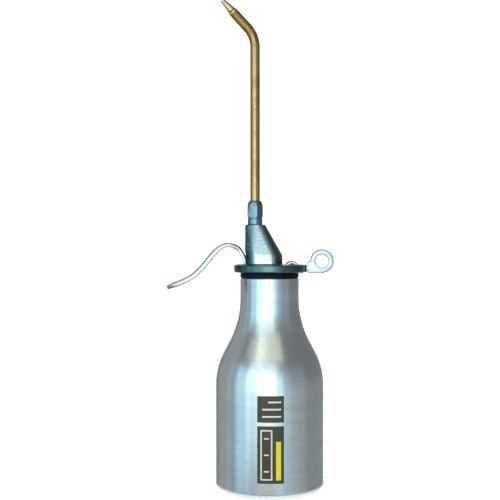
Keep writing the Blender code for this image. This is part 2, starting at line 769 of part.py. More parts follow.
def make_pump_bores():
    """Pocket, gland thread, rod bore and barrel socket, as one turned cutter."""
    shank = NUT_SHANK_RADIUS + SEAT_GAP
    rod_bore = ROD_RADIUS + RUNNING_GAP
    socket = BARREL_RADIUS + SEAT_GAP
    profile = [
        (0.0, SLOT_FLOOR + OVERRUN),
        (POCKET_RADIUS, SLOT_FLOOR + OVERRUN),
        (POCKET_RADIUS, POCKET_FLOOR),
        (shank, POCKET_FLOOR),
        (shank, GLAND_FLOOR),
        (rod_bore, GLAND_FLOOR),
        (rod_bore, SOCKET_CEILING),
        (socket, SOCKET_CEILING),
        (socket, BOSS_BOTTOM - OVERRUN),
        (0.0, BOSS_BOTTOM - OVERRUN),
    ]
    return turned(
        "pump_bores", profile, (-PUMP_SETBACK, 0.0, 0.0), steps=SMALL_STEPS, start=BORE_START
    )


def make_delivery_bores():
    """Washer seat, spigot bore, valve chamber and port, down the tower."""
    washer = WASHER_RADIUS + SEAT_GAP
    spigot = SPIGOT_RADIUS + SEAT_GAP
    washer_floor = WASHER_TOP - WASHER_THICKNESS - SEAT_GAP
    spigot_floor = SPIGOT_BOTTOM - RUNNING_GAP
    profile = [
        (0.0, TOWER_TOP + OVERRUN),
        (washer, TOWER_TOP + OVERRUN),
        (washer, washer_floor),
        (spigot, washer_floor),
        (spigot, spigot_floor),
        (DELIVERY_BORE_RADIUS, spigot_floor),
        (DELIVERY_BORE_RADIUS, DELIVERY_FLOOR),
        (DELIVERY_PORT_RADIUS, DELIVERY_FLOOR),
        (DELIVERY_PORT_RADIUS, DELIVERY_FLOOR - DELIVERY_PORT_DEPTH),
        (0.0, DELIVERY_FLOOR - DELIVERY_PORT_DEPTH),
    ]
    return turned(
        "delivery_bores", profile, (-TOWER_TOP_SETBACK, 0.0, 0.0), steps=SMALL_STEPS,
        start=BORE_START,
    )


def make_gallery():
    """The oil way from the barrel, up beside the slot, to the delivery valve."""
    port = DELIVERY_FLOOR - DELIVERY_PORT_DEPTH / 2
    knee = port + (FLANGE_TOP - port) * GALLERY_KNEE_SHARE
    bend = GLAND_FLOOR + PACKING_HEIGHT
    exit_offset = BARREL_BORE_RADIUS * GALLERY_EXIT_SHARE
    points = [
        Vector((-TOWER_TOP_SETBACK, 0.0, port)),
        Vector((-PUMP_SETBACK, GALLERY_OFFSET, knee)),
        Vector((-PUMP_SETBACK, GALLERY_OFFSET, bend)),
        Vector((-PUMP_SETBACK, exit_offset, SOCKET_CEILING - OVERRUN)),
    ]
    return tube_from("gallery", points, GALLERY_RADIUS, (0.0, 0.0, 0.0), resolution=1)


def make_pin_bore():
    """The cross hole, drilled through the rim from the back to the front pocket."""
    radius = PIN_RADIUS + SEAT_GAP * 0.8
    pocket = LEVER_ARM_WIDTH / 2 - EAR_INSET - EAR_STEEL - RUNNING_GAP
    start = (PIVOT_REACH, -pocket - OVERRUN, PIVOT_HEIGHT)
    end = (PIVOT_REACH, FLANGE_RADIUS, PIVOT_HEIGHT)
    return rod("pin_bore", start, end, radius, TINY_STEPS)


def make_eye_slot():
    """The slot in the lug for the hanging eye's tongue."""
    middle = (FLANGE_TOP + FLANGE_BOTTOM) / 2
    half = EYE_TONGUE_HEIGHT / 2 + SEAT_GAP
    start = LUG_REACH - EYE_TONGUE_LENGTH - SEAT_GAP
    end = LUG_REACH + OVERRUN
    outline = [
        (start, middle - half),
        (end, middle - half),
        (end, middle + half),
        (start, middle + half),
    ]
    depth = EYE_PLATE / 2 + SEAT_GAP
    return prism("eye_slot", outline, -depth, depth, (0.0, 0.0, 0.0))


def make_pump_head():
    head = make_flange_and_plug()
    for piece in (make_tower(), make_barrel_boss(), make_eye_lug(), make_lug_gusset()):
        join(head, piece)
    pockets = (make_ear_pocket(-1), make_ear_pocket(1))
    cut(head, make_lever_slot())
    for pocket in pockets:
        cut(head, pocket)
    join(head, make_pivot_lug())
    tools = (
        make_pump_bores(),
        make_delivery_bores(),
        make_gallery(),
        make_pin_bore(),
        make_eye_slot(),
    )
    for tool in tools:
        cut(head, tool)


def make_hanging_eye():
    """A plate with a drilled ring, a straight tab and a tongue in the lug."""
    shoulder = LUG_REACH + SEAT_GAP
    ring = (shoulder + EYE_TAB_LENGTH + EYE_RADIUS, FLANGE_TOP + EYE_RISE)
    tab_top = FLANGE_TOP + EYE_RISE
    tab_bottom = ring[1] - EYE_RADIUS
    middle = (FLANGE_TOP + FLANGE_BOTTOM) / 2
    half = EYE_TONGUE_HEIGHT / 2
    tongue = LUG_REACH - EYE_TONGUE_LENGTH
    outline = [
        (tongue, middle - half),
        (shoulder, middle - half),
        (shoulder, tab_bottom),
    ]
    outline += arc(ring, EYE_RADIUS, -math.pi / 2, math.pi, 30)
    outline += [
        (shoulder, tab_top),
        (shoulder, middle + half),
        (tongue, middle + half),
    ]
    plate = prism(
        "hanging_eye", outline, -EYE_PLATE / 2, EYE_PLATE / 2, (0.0, 0.0, 0.0), "zinc_plate",
    )
    start = (ring[0], -EYE_PLATE / 2 - OVERRUN, ring[1])
    end = (ring[0], EYE_PLATE / 2 + OVERRUN, ring[1])
    cut(plate, rod("eye_hole", start, end, EYE_HOLE_RADIUS, MEDIUM_STEPS))
    modify(
        plate, "soft edges", "BEVEL",
        width=EYE_PLATE_EDGE, segments=1, limit_method="ANGLE", angle_limit=math.radians(60.0),
    )


# Lever

def lever_stations():
    """For each station: the strip's place, its outward direction, width and dish."""
    points = [
        Vector((-reach * LEVER_REACH, 0.0, rise * LEVER_RISE))
        for reach, rise in LEVER_PATH_SHARES
    ]
    points[0].x = -SLOT_END - RUNNING_GAP
    path = smooth_path(points, LEVER_STATIONS)
    length = sum((b - a).length for a, b in zip(path, path[1:]))
    stations = []
    for index, place in enumerate(path):
        before = path[max(index - 1, 0)]
        after = path[min(index + 1, len(path) - 1)]
        heading = (after - before).normalized()
        outward = Vector((heading.z, 0.0, -heading.x))
        share = index / (len(path) - 1)
        reach = -place.x / LEVER_REACH
        spread = along(LEVER_WIDTH_SHARES, reach)
        width = LEVER_ARM_WIDTH + (LEVER_PAD_WIDTH - LEVER_ARM_WIDTH) * spread
        to_tip = (1 - share) * length / LEVER_TIP_LENGTH
        if to_tip < 1:
            rounding = math.sqrt(1 - (1 - to_tip) ** 2)
            width *= LEVER_TIP_SHARE + (1 - LEVER_TIP_SHARE) * rounding
        flange = along(LEVER_FLANGE_SHARES, reach)
        stations.append((place, outward, width, flange))
    return stations


def channel_section(width, flange):
    """Points (across, down) round the strip's section: a flat web whose two
    edges turn down as far as the flange share says.
    """
    half = width / 2
    bend = LEVER_EDGE + (LEVER_BEND - LEVER_EDGE) * flange
    depth = LEVER_STEEL + LEVER_CREASE / 2 + LEVER_FLANGE * flange
    inner = half - min(LEVER_STEEL, half / 2)
    crease = LEVER_CREASE * (1 + flange) / 4
    side = [(half, depth)]
    for across, up in arc((0.0, 0.0), 1.0, 0.0, math.pi / 2, LEVER_BEND_STEPS):
        side.append((half - bend + bend * across, bend - bend * up))
    under = [(inner - crease, LEVER_STEEL), (inner, LEVER_STEEL + crease), (inner, depth)]
    outer = side + [(-across, down) for across, down in side[::-1]]
    hollow = [(-across, down) for across, down in under[::-1]] + under
    return outer + hollow


def make_lever_strip():
    bm = bmesh.new()
    rows = []
    for place, outward, width, flange in lever_stations():
        row = []
        for across, down in channel_section(width, flange):
            row.append(bm.verts.new(place - outward * down + Vector((0.0, across, 0.0))))
        rows.append(row)
    for low, high in zip(rows, rows[1:]):
        for first in range(len(low)):
            second = (first + 1) % len(low)
            bm.faces.new((low[first], low[second], high[second], high[first]))
    bm.faces.new(rows[0])
    bm.faces.new(rows[-1])
    bmesh.ops.recalc_face_normals(bm, faces=bm.faces)
    place = (PIVOT_REACH, 0.0, PIVOT_HEIGHT)
    return add_object("lever", mesh_from(bm, "lever"), place, "zinc_plate")


def make_ear(side):
    """A cheek on the lever's arm that ends in a round ear on the pivot pin."""
    top = LEVER_RISE * LEVER_PATH_SHARES[0][1]
    outer = LEVER_ARM_WIDTH / 2 - EAR_INSET
    inner = outer - EAR_STEEL
    blend = math.asin(top / EAR_RADIUS)
    outline = arc((0.0, 0.0), EAR_RADIUS, math.pi - blend, 0.0, 12)
    for across, up in arc((0.0, 0.0), 1.0, 0.0, -math.pi / 2, 5)[1:]:
        outline.append((across * EAR_RADIUS, up * EAR_DEPTH))
    seam_top, seam_bottom = (top - LEVER_STEEL * share for share in EAR_SEAM_SHARES)
    outline += [
        (-EAR_RADIUS, -EAR_DEPTH),
        (-EAR_ARM_LENGTH, seam_bottom),
        (-EAR_ARM_LENGTH, seam_top),
        (-EAR_RADIUS, seam_top),
    ]
    low, high = sorted((side * inner, side * outer))
    name = "front_ear" if side < 0 else "back_ear"
    return prism(name, outline, low, high, (PIVOT_REACH, 0.0, PIVOT_HEIGHT))


def make_lever():
    lever = make_lever_strip()
    for side in (-1, 1):
        join(lever, make_ear(side))
    reach = LEVER_ARM_WIDTH
    start = (PIVOT_REACH, -reach, PIVOT_HEIGHT)
    end = (PIVOT_REACH, reach, PIVOT_HEIGHT)
    cut(lever, rod("ear_holes", start, end, PIN_RADIUS + RUNNING_GAP, SMALL_STEPS))
    face = LEVER_ARM_WIDTH / 2 - EAR_INSET
    for side in (-1, 1):
        floor = (PIVOT_REACH, side * (face - EAR_DISH_DEPTH), PIVOT_HEIGHT)
        above = (PIVOT_REACH, side * (face + OVERRUN), PIVOT_HEIGHT)
        name = "front_ear_dish" if side < 0 else "back_ear_dish"
        cut(lever, rod(name, floor, above, EAR_DISH_RADIUS, MEDIUM_STEPS))


def make_lever_pin():
    half = LEVER_ARM_WIDTH / 2 + PIN_PROTRUSION
    profile = [
        (0.0, half),
        (PIN_RADIUS - PIN_CHAMFER, half),
        (PIN_RADIUS, half - PIN_CHAMFER),
        (PIN_RADIUS, -half + PIN_CHAMFER),
        (PIN_RADIUS - PIN_CHAMFER, -half),
        (0.0, -half),
    ]
    pin = turned("lever_pin", profile, (PIVOT_REACH, 0.0, PIVOT_HEIGHT), "pin_steel", TINY_STEPS)
    pin.rotation_euler = (math.pi / 2, 0.0, 0.0)


# Pump

def make_plunger():
    """The domed button, the rod and its threaded tail, as one turned piece."""
    dome = BUTTON_TOP - BUTTON_DOME
    edge = PIN_CHAMFER
    bulge = (BUTTON_RADIUS ** 2 + BUTTON_DOME ** 2) / (2 * BUTTON_DOME)
    swing = math.asin(BUTTON_RADIUS / bulge)
    centre = (0.0, BUTTON_TOP - bulge)
    profile = arc(centre, bulge, math.pi / 2, math.pi / 2 - swing, 5)
    profile[0] = (0.0, BUTTON_TOP)
    tail = PISTON_BOTTOM - ROD_TAIL
    profile += [
        (BUTTON_RADIUS, dome - edge),
        (BUTTON_RADIUS, BUTTON_BOTTOM + edge),
        (BUTTON_RADIUS - edge, BUTTON_BOTTOM),
        (ROD_RADIUS, BUTTON_BOTTOM),
        (ROD_RADIUS, tail + edge),
        (ROD_RADIUS - edge, tail),
        (0.0, tail),
    ]
    turned("plunger", profile, (-PUMP_SETBACK, 0.0, 0.0), "zinc_plate", SMALL_STEPS)


def hexagonal_cutter(name, flat_radius, outer_radius, low, high, location):
    """A ring whose bore is a hexagon, for cutting six flats."""
    corner = flat_radius / math.cos(math.pi / 6)
    profile = [
        (corner, high),
        (outer_radius, high),
        (outer_radius, low),
        (corner, low),
    ]
    return turned(name, profile, location, steps=6, closed=True)


def make_gland_nut():
    chamfer = PIN_CHAMFER
    bore = ROD_RADIUS + RUNNING_GAP
    profile = [
        (bore, NUT_TOP),
        (NUT_CORNER_RADIUS - chamfer, NUT_TOP),
        (NUT_CORNER_RADIUS, NUT_TOP - chamfer),
        (NUT_CORNER_RADIUS, NUT_BOTTOM),
        (NUT_SHANK_RADIUS, NUT_BOTTOM),
        (NUT_SHANK_RADIUS, SHANK_BOTTOM),
        (bore, SHANK_BOTTOM),
    ]
    axis = (-PUMP_SETBACK, 0.0, 0.0)
    nut = turned("gland_nut", profile, axis, "brass", SMALL_STEPS, closed=True)
    flats = hexagonal_cutter(
        "nut_flats", NUT_CORNER_RADIUS * math.cos(math.pi / 6), 2 * NUT_CORNER_RADIUS,
        NUT_BOTTOM - SEAT_GAP, NUT_TOP + OVERRUN, axis,
    )
    cut(nut, flats)


def make_ring(name, inner, outer, bottom, top, axis_setback, finish, steps=SMALL_STEPS):
    profile = [(inner, top), (outer, top), (outer, bottom), (inner, bottom)]
    turned(name, profile, (-axis_setback, 0.0, 0.0), finish, steps, closed=True)


def make_barrel():
    chamfer = PIN_CHAMFER
    profile = [
        (BARREL_BORE_RADIUS, BARREL_TOP),
        (BARREL_RADIUS - chamfer, BARREL_TOP),
        (BARREL_RADIUS, BARREL_TOP - chamfer),
        (BARREL_RADIUS, BARREL_BOTTOM + chamfer),
        (BARREL_RADIUS - chamfer, BARREL_BOTTOM),
        (BARREL_BORE_RADIUS, BARREL_BOTTOM),
    ]
    turned("pump_barrel", profile, (-PUMP_SETBACK, 0.0, 0.0), "brass", MEDIUM_STEPS, closed=True)


def make_piston():
    bore = ROD_RADIUS + SEAT_GAP
    groove = PISTON_RADIUS - CUP_LIP
    third = PISTON_HEIGHT / 3
    profile = [
        (bore, PISTON_TOP),
        (PISTON_RADIUS, PISTON_TOP),
        (PISTON_RADIUS, PISTON_TOP - third),
        (groove, PISTON_TOP - third),
        (groove, PISTON_BOTTOM + third),
        (PISTON_RADIUS, PISTON_BOTTOM + third),
        (PISTON_RADIUS, PISTON_BOTTOM),
        (bore, PISTON_BOTTOM),
    ]
    turned("piston", profile, (-PUMP_SETBACK, 0.0, 0.0), "brass", SMALL_STEPS, closed=True)


def make_piston_cup():
    """The leather cup on top of the piston, its lip turned up along the bore."""
    bottom = PISTON_TOP + SEAT_GAP
    floor = bottom + CUP_LIP
    outer = PISTON_RADIUS
    profile = [
        (ROD_RADIUS + SEAT_GAP, floor),
        (outer - 2 * CUP_LIP, floor),
        (outer - CUP_LIP, floor + CUP_LIP),
        (outer - CUP_LIP, CUP_TOP),
        (outer, CUP_TOP),
        (outer, bottom + CUP_LIP),
        (outer - CUP_LIP, bottom),
        (ROD_RADIUS + SEAT_GAP, bottom),
    ]
    turned("piston_cup", profile, (-PUMP_SETBACK, 0.0, 0.0), "leather", SMALL_STEPS, closed=True)


def make_spring(name, coil_radius, wire, turns, end_share, bottom, top, setback, finish):
    """An open coil between two levels; the end share is how much of the rise
    each end turn takes.
    """
    low = bottom + wire / 2
    high = top - wire / 2
    steps = 10
    end_turn = 1 / turns
    points = []
    for index in range(turns * steps + 1):
        share = index / (turns * steps)
        angle = 2 * math.pi * turns * share
        if share < end_turn:
            rise = end_share * share / end_turn
        elif share > 1 - end_turn:
            rise = 1 - end_share * (1 - share) / end_turn
        else:
            middle = (share - end_turn) / (1 - 2 * end_turn)
            rise = end_share + (1 - 2 * end_share) * middle
        points.append(
            Vector(
                (
                    coil_radius * math.cos(angle),
                    coil_radius * math.sin(angle),
                    low + (high - low) * rise,
                )
            )
        )
    gap = min(
        (far - near).length - wire
        for number, near in enumerate(points)
        for far in points[number + steps - 2:]
    )
    print(name, "least gap between turns, mm:", round(gap / MM, 2))
    tube_from(name, points, wire / 2, (-setback, 0.0, 0.0), finish, resolution=1)


def make_foot_valve():
    """Valve seat and hose barb, screwed into the foot of the barrel."""
    head = BARREL_BORE_RADIUS - SEAT_GAP
    profile = [
        (VALVE_CHAMBER_RADIUS, VALVE_TOP),
        (head, VALVE_TOP),
        (head, BARREL_BOTTOM - SEAT_GAP),
        (BARREL_RADIUS, BARREL_BOTTOM - SEAT_GAP),
        (BARREL_RADIUS, VALVE_FLANGE_BOTTOM),
        (BARB_RADIUS, VALVE_FLANGE_BOTTOM),
    ]
    pitch = BARB_LENGTH / (BARB_RIDGES + 1)
    for ridge in range(1, BARB_RIDGES + 1):
        crest = VALVE_FLANGE_BOTTOM - ridge * pitch
        profile.append((BARB_RADIUS, crest + pitch / 4))
        profile.append((BARB_RADIUS + BARB_RIDGE, crest))
        profile.append((BARB_RADIUS, crest - pitch / 2))
    profile += [
        (BARB_RADIUS, BARB_BOTTOM),
        (VALVE_PORT_RADIUS, BARB_BOTTOM),
        (VALVE_PORT_RADIUS, CHAMBER_FLOOR),
        (VALVE_CHAMBER_RADIUS, CHAMBER_FLOOR),
    ]
    axis = (-PUMP_SETBACK, 0.0, 0.0)
    valve = turned("foot_valve", profile, axis, "brass", SMALL_STEPS, closed=True)
    flats = hexagonal_cutter(
        "valve_flats", BARREL_RADIUS * math.cos(math.pi / 6), 2 * BARREL_RADIUS,
        VALVE_FLANGE_BOTTOM - SEAT_GAP, BARREL_BOTTOM - SEAT_GAP / 2, axis,
    )
    cut(valve, flats)


def seated_ball_height(ball_radius, port_radius):
    """How high a ball's centre sits over the round edge that it closes."""
    return math.sqrt((ball_radius + SEAT_GAP) ** 2 - port_radius ** 2)


def make_ball(name, radius, centre, finish):
    bm = bmesh.new()
    bmesh.ops.create_uvsphere(bm, u_segments=TINY_STEPS, v_segments=TINY_STEPS // 2, radius=radius)
    add_object(name, mesh_from(bm, name), centre, finish)


def make_ball_retainer():
    """The drilled disc over the foot ball, which is also the spring's seat."""
    bottom = VALVE_TOP + SEAT_GAP
    top = bottom + RETAINER_HEIGHT
    outer = BARREL_BORE_RADIUS - SEAT_GAP
    profile = [(0.0, top), (outer, top), (outer, bottom), (0.0, bottom)]
    axis = (-PUMP_SETBACK, 0.0, 0.0)
    disc = turned("ball_retainer", profile, axis, "brass", SMALL_STEPS)
    for index in range(RETAINER_HOLES):
        angle = 2 * math.pi * (index + 0.5) / RETAINER_HOLES
        across = -PUMP_SETBACK + RETAINER_HOLE_CIRCLE * math.cos(angle)
        along_y = RETAINER_HOLE_CIRCLE * math.sin(angle)
        start = (across, along_y, bottom - OVERRUN)
        end = (across, along_y, top + OVERRUN)
        hole = rod("retainer_hole_%d" % (index + 1), start, end, RETAINER_HOLE_RADIUS, TINY_STEPS)
        cut(disc, hole)


def make_dip_hose():
    make_ring(
        "dip_hose", HOSE_BORE_RADIUS, HOSE_RADIUS, HOSE_BOTTOM, HOSE_TOP,
        PUMP_SETBACK, "hose_plastic", SMALL_STEPS,
    )


def make_strainer():
    """A brass weight with a spigot in the hose and slots round its foot."""
    spigot = HOSE_BORE_RADIUS - SEAT_GAP
    bore = VALVE_PORT_RADIUS
    chamfer = 2 * PIN_CHAMFER
    spigot_top = STRAINER_TOP + STRAINER_HEIGHT / 2
    shelf = STRAINER_BOTTOM + STRAINER_SLOT_HEIGHT + STRAINER_SLOT_WIDTH
    profile = [
        (bore, spigot_top),
        (spigot, spigot_top),
        (spigot, STRAINER_TOP),
        (STRAINER_RADIUS - chamfer, STRAINER_TOP),
        (STRAINER_RADIUS, STRAINER_TOP - chamfer),
        (STRAINER_RADIUS, STRAINER_BOTTOM + chamfer),
        (STRAINER_RADIUS - chamfer, STRAINER_BOTTOM),
        (STRAINER_BORE_RADIUS, STRAINER_BOTTOM),
        (STRAINER_BORE_RADIUS, shelf),
        (bore, shelf),
    ]
    axis = (-PUMP_SETBACK, 0.0, 0.0)
    strainer = turned("strainer", profile, axis, "brass", SMALL_STEPS, closed=True)
    for index in range(STRAINER_SLOTS // 2):
        angle = math.pi * index / (STRAINER_SLOTS // 2)
        bm = bmesh.new()
        bmesh.ops.create_cube(bm, size=1.0)
        size = (3 * STRAINER_RADIUS, STRAINER_SLOT_WIDTH, STRAINER_SLOT_HEIGHT)
        bmesh.ops.scale(bm, vec=size, verts=bm.verts)
        bmesh.ops.rotate(
            bm, verts=bm.verts, cent=(0.0, 0.0, 0.0), matrix=Matrix.Rotation(angle, 3, "Z"),
        )
        name = "strainer_slot_%d" % (index + 1)
        place = (-PUMP_SETBACK, 0.0, STRAINER_BOTTOM)
        cut(strainer, add_object(name, mesh_from(bm, name), place, None))


# Spout

def make_nipple():
    """A hexagon-topped nipple with a domed shoulder, a collar and a spigot."""
    bottom = 0.0
    top = NIPPLE_HEIGHT
    collar = NIPPLE_COLLAR_HEIGHT
    groove = NIPPLE_FLAT_RADIUS
    hexagon = collar + NIPPLE_GROOVE_HEIGHT
    shoulder = top - NIPPLE_SHOULDER_HEIGHT
    collar_radius = NIPPLE_RADIUS - NIPPLE_GROOVE_DEPTH / 2
    edge = NIPPLE_GROOVE_DEPTH
    socket = TUBE_RADIUS + SEAT_GAP
    socket_floor = top - NIPPLE_SOCKET_DEPTH
    profile = [(socket, top), (NIPPLE_TOP_RADIUS, top)]
    for share_out, share_down in arc((0.0, 0.0), 1.0, math.pi / 2, 0.0, 5)[1:]:
        across = NIPPLE_TOP_RADIUS + (NIPPLE_RADIUS - NIPPLE_TOP_RADIUS) * share_out
        up = shoulder + NIPPLE_SHOULDER_HEIGHT * share_down
        profile.append((across, up))
    profile += [
        (NIPPLE_RADIUS, hexagon + edge),
        (groove, hexagon),
        (groove, collar),
        (collar_radius - edge, collar),
        (collar_radius, collar - edge),
        (collar_radius, collar / 2 + edge),
        (collar_radius - edge / 2, collar / 2),
        (collar_radius, collar / 2 - edge),
        (collar_radius, bottom + edge),
        (collar_radius - edge, bottom),
        (SPIGOT_RADIUS, bottom),
        (SPIGOT_RADIUS, -SPIGOT_LENGTH),
        (NIPPLE_BORE_RADIUS, -SPIGOT_LENGTH),
        (NIPPLE_BORE_RADIUS, socket_floor),
        (socket, socket_floor),
    ]
    place = (-TOWER_TOP_SETBACK, 0.0, NIPPLE_BOTTOM)
    nipple = turned("spout_nipple", profile, place, "nickel_plate", MEDIUM_STEPS, closed=True)
    flats = hexagonal_cutter(
        "nipple_flats", NIPPLE_FLAT_RADIUS, 2 * NIPPLE_RADIUS,
        hexagon - edge / 2, top + OVERRUN, place,
    )
    flats.rotation_euler = (0.0, 0.0, NIPPLE_TURN)
    cut(nipple, flats)


def spout_line():
    """The tube's centre line from its foot, as points about the swivel axis."""
    foot = Vector((0.0, 0.0, TUBE_BOTTOM - NIPPLE_BOTTOM))
    bend = BEND_START - NIPPLE_BOTTOM
    points = [foot]
    pieces = 9
    for index in range(pieces + 1):
        angle = BEND_ANGLE * index / pieces
        across = -BEND_RADIUS * (1 - math.cos(angle))
        up = bend + BEND_RADIUS * math.sin(angle)
        points.append(Vector((across, 0.0, up)))
    heading = spout_heading()
    points.append(points[-1] + heading * (TUBE_END_RUN - SEAT_GAP))
    return points


def spout_heading():
    return Vector((-math.sin(BEND_ANGLE), 0.0, math.cos(BEND_ANGLE)))


def make_spout_tube():
    line = spout_line()
    heading = spout_heading()
    place = (-TOWER_TOP_SETBACK, 0.0, NIPPLE_BOTTOM)
    tube = tube_from("spout_tube", line, TUBE_RADIUS, place, "brass", resolution=4)
    longer = [line[0] - Vector((0.0, 0.0, OVERRUN)), *line[1:-1], line[-1] + heading * OVERRUN]
    cut(tube, tube_from("tube_bore", longer, TUBE_BORE_RADIUS, place, resolution=3))


def make_nozzle():
    """A collared cone whose spigot sits in the tube's end."""
    spigot = TUBE_BORE_RADIUS - SEAT_GAP
    edge = COLLAR_EDGE
    total = COLLAR_LENGTH + CONE_LENGTH
    waist = CONE_BASE_RADIUS + edge / 2
    profile = [
        (NOZZLE_BORE_RADIUS, total),
        (CONE_TIP_RADIUS, total),
        (CONE_BASE_RADIUS, COLLAR_LENGTH + edge),
        (waist, COLLAR_LENGTH),
    ]
    profile += arc((COLLAR_RADIUS - edge, COLLAR_LENGTH - edge), edge, math.pi / 3, 0.0, 3)
    profile += [
        (COLLAR_RADIUS, edge / 2),
        (COLLAR_RADIUS - edge / 4, 0.0),
        (spigot, 0.0),
        (spigot, -NOZZLE_SPIGOT_LENGTH),
        (NOZZLE_BORE_RADIUS, -NOZZLE_SPIGOT_LENGTH),
    ]
    tube_end = spout_line()[-1] + spout_heading() * SEAT_GAP
    place = tube_end + Vector((-TOWER_TOP_SETBACK, 0.0, NIPPLE_BOTTOM))
    nozzle = turned("nozzle_tip", profile, place, "pale_brass", SMALL_STEPS, closed=True)
    nozzle.rotation_euler = (0.0, -BEND_ANGLE, 0.0)


make_flask()
make_gasket()
make_pump_head()
make_hanging_eye()
make_lever()
make_lever_pin()
make_plunger()
make_gland_nut()
make_ring(
    "gland_packing", ROD_RADIUS + SEAT_GAP, NUT_SHANK_RADIUS, PACKING_BOTTOM, PACKING_TOP,
    PUMP_SETBACK, "fibre",
)
make_ring(
    "barrel_seal", BARREL_BORE_RADIUS, BARREL_RADIUS, SEAL_BOTTOM, SEAL_TOP,
    PUMP_SETBACK, "fibre", MEDIUM_STEPS,
)
make_barrel()
make_piston()
make_piston_cup()
make_foot_valve()
FOOT_BALL_CENTRE = CHAMBER_FLOOR + seated_ball_height(FOOT_BALL_RADIUS, VALVE_PORT_RADIUS)
make_ball("foot_ball", FOOT_BALL_RADIUS, (-PUMP_SETBACK, 0.0, FOOT_BALL_CENTRE), "spring_steel")
make_ball_retainer()
make_spring(
    "return_spring", RETURN_COIL_RADIUS, RETURN_WIRE, RETURN_TURNS, RETURN_END_SHARE,
    VALVE_TOP + RETAINER_HEIGHT + 2 * SEAT_GAP, PISTON_BOTTOM - SEAT_GAP,
    PUMP_SETBACK, "spring_steel",
)
make_dip_hose()
make_strainer()
make_nipple()
make_ring(
    "nipple_washer", SPIGOT_RADIUS + SEAT_GAP, WASHER_RADIUS,
    WASHER_TOP - WASHER_THICKNESS, WASHER_TOP, TOWER_TOP_SETBACK, "fibre",
)
DELIVERY_BALL_CENTRE = DELIVERY_FLOOR + seated_ball_height(DELIVERY_BALL_RADIUS, DELIVERY_PORT_RADIUS)
make_ball(
    "delivery_ball", DELIVERY_BALL_RADIUS,
    (-TOWER_TOP_SETBACK, 0.0, DELIVERY_BALL_CENTRE), "spring_steel",
)
make_spring(
    "delivery_spring", DELIVERY_COIL_RADIUS, DELIVERY_WIRE, DELIVERY_TURNS, DELIVERY_END_SHARE,
    DELIVERY_BALL_CENTRE + DELIVERY_BALL_RADIUS + SEAT_GAP, SPIGOT_BOTTOM - SEAT_GAP,
    TOWER_TOP_SETBACK, "spring_steel",
)
make_spout_tube()
make_nozzle()
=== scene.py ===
# Pump oil can: the dressed pieces, their finishes, the table and wall, the lamps and the camera.

import math

import bmesh
import bpy
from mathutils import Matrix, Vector


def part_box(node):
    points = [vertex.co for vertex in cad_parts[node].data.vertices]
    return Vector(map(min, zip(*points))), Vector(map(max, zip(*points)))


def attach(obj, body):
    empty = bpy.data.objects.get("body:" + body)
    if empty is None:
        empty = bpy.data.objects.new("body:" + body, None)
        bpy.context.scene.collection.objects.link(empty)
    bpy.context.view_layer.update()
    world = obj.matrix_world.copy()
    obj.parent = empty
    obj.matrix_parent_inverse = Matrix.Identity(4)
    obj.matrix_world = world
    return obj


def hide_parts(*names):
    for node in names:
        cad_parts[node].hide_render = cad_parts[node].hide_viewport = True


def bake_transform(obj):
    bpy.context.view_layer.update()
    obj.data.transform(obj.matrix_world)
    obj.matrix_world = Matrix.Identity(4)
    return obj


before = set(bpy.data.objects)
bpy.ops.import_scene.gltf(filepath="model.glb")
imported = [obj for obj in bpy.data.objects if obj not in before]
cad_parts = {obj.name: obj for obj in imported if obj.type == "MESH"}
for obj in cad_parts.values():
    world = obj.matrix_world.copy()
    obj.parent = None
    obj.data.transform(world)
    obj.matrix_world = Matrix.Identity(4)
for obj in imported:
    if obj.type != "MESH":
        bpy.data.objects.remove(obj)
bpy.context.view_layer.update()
scene = bpy.context.scene

MM = 0.001

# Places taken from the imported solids
FLASK_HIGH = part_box("flask")[1]
GASKET_LOW, GASKET_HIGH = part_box("neck_gasket")
HEAD_LOW, HEAD_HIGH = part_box("pump_head")
PIN_LOW, PIN_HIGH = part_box("lever_pin")
EYE_LOW, EYE_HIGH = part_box("hanging_eye")
NIPPLE_LOW, NIPPLE_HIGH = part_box("spout_nipple")
PLUNGER_LOW, PLUNGER_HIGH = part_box("plunger")

FLASK_RADIUS = FLASK_HIGH.x
NECK_TOP = FLASK_HIGH.z
FLANGE_BOTTOM = GASKET_HIGH.z + 0.25 * MM
FLANGE_TOP = FLANGE_BOTTOM + 5.0 * MM
FLANGE_RADIUS = 22.5 * MM
PIVOT = Vector(((PIN_LOW.x + PIN_HIGH.x) / 2, 0.0, (PIN_LOW.z + PIN_HIGH.z) / 2))
PUMP_X = (PLUNGER_LOW.x + PLUNGER_HIGH.x) / 2
SPOUT_X = (NIPPLE_LOW.x + NIPPLE_HIGH.x) / 2
TOWER_KNEE = FLANGE_TOP + 5.8 * MM
TOWER_TOP = HEAD_HIGH.z
KNEE_RADIUS, TOP_RADIUS = 11.9 * MM, 6.4 * MM
KNEE_FLAT, TOP_FLAT = 0.9 * KNEE_RADIUS, 0.96 * TOP_RADIUS
SLOT_FLOOR = 134.215 * MM
LEVER_REACH, LEVER_RISE, LEVER_STEEL = 79.0 * MM, 15.8 * MM, 1.7 * MM
EAR_RADIUS = 4.5 * MM
EYE_RADIUS = 7.4 * MM
EYE_X = EYE_HIGH.x - EYE_RADIUS
EYE_Z = FLANGE_TOP + 2.1 * MM


# Modelling by hand

def in_mm(*values):
    """Numbers or points given in millimetres."""
    return tuple(in_mm(*value) if isinstance(value, tuple) else value * MM for value in values)


def deselect():
    bpy.ops.object.select_all(action="DESELECT")


def take(obj):
    deselect()
    obj.select_set(True)
    bpy.context.view_layer.objects.active = obj


def new_piece(name):
    obj = bpy.context.active_object
    obj.name = name
    obj.data.name = name
    return obj


def into_edit(obj):
    take(obj)
    bpy.ops.object.mode_set(mode="EDIT")


def out_of_edit():
    bpy.ops.object.mode_set(mode="OBJECT")


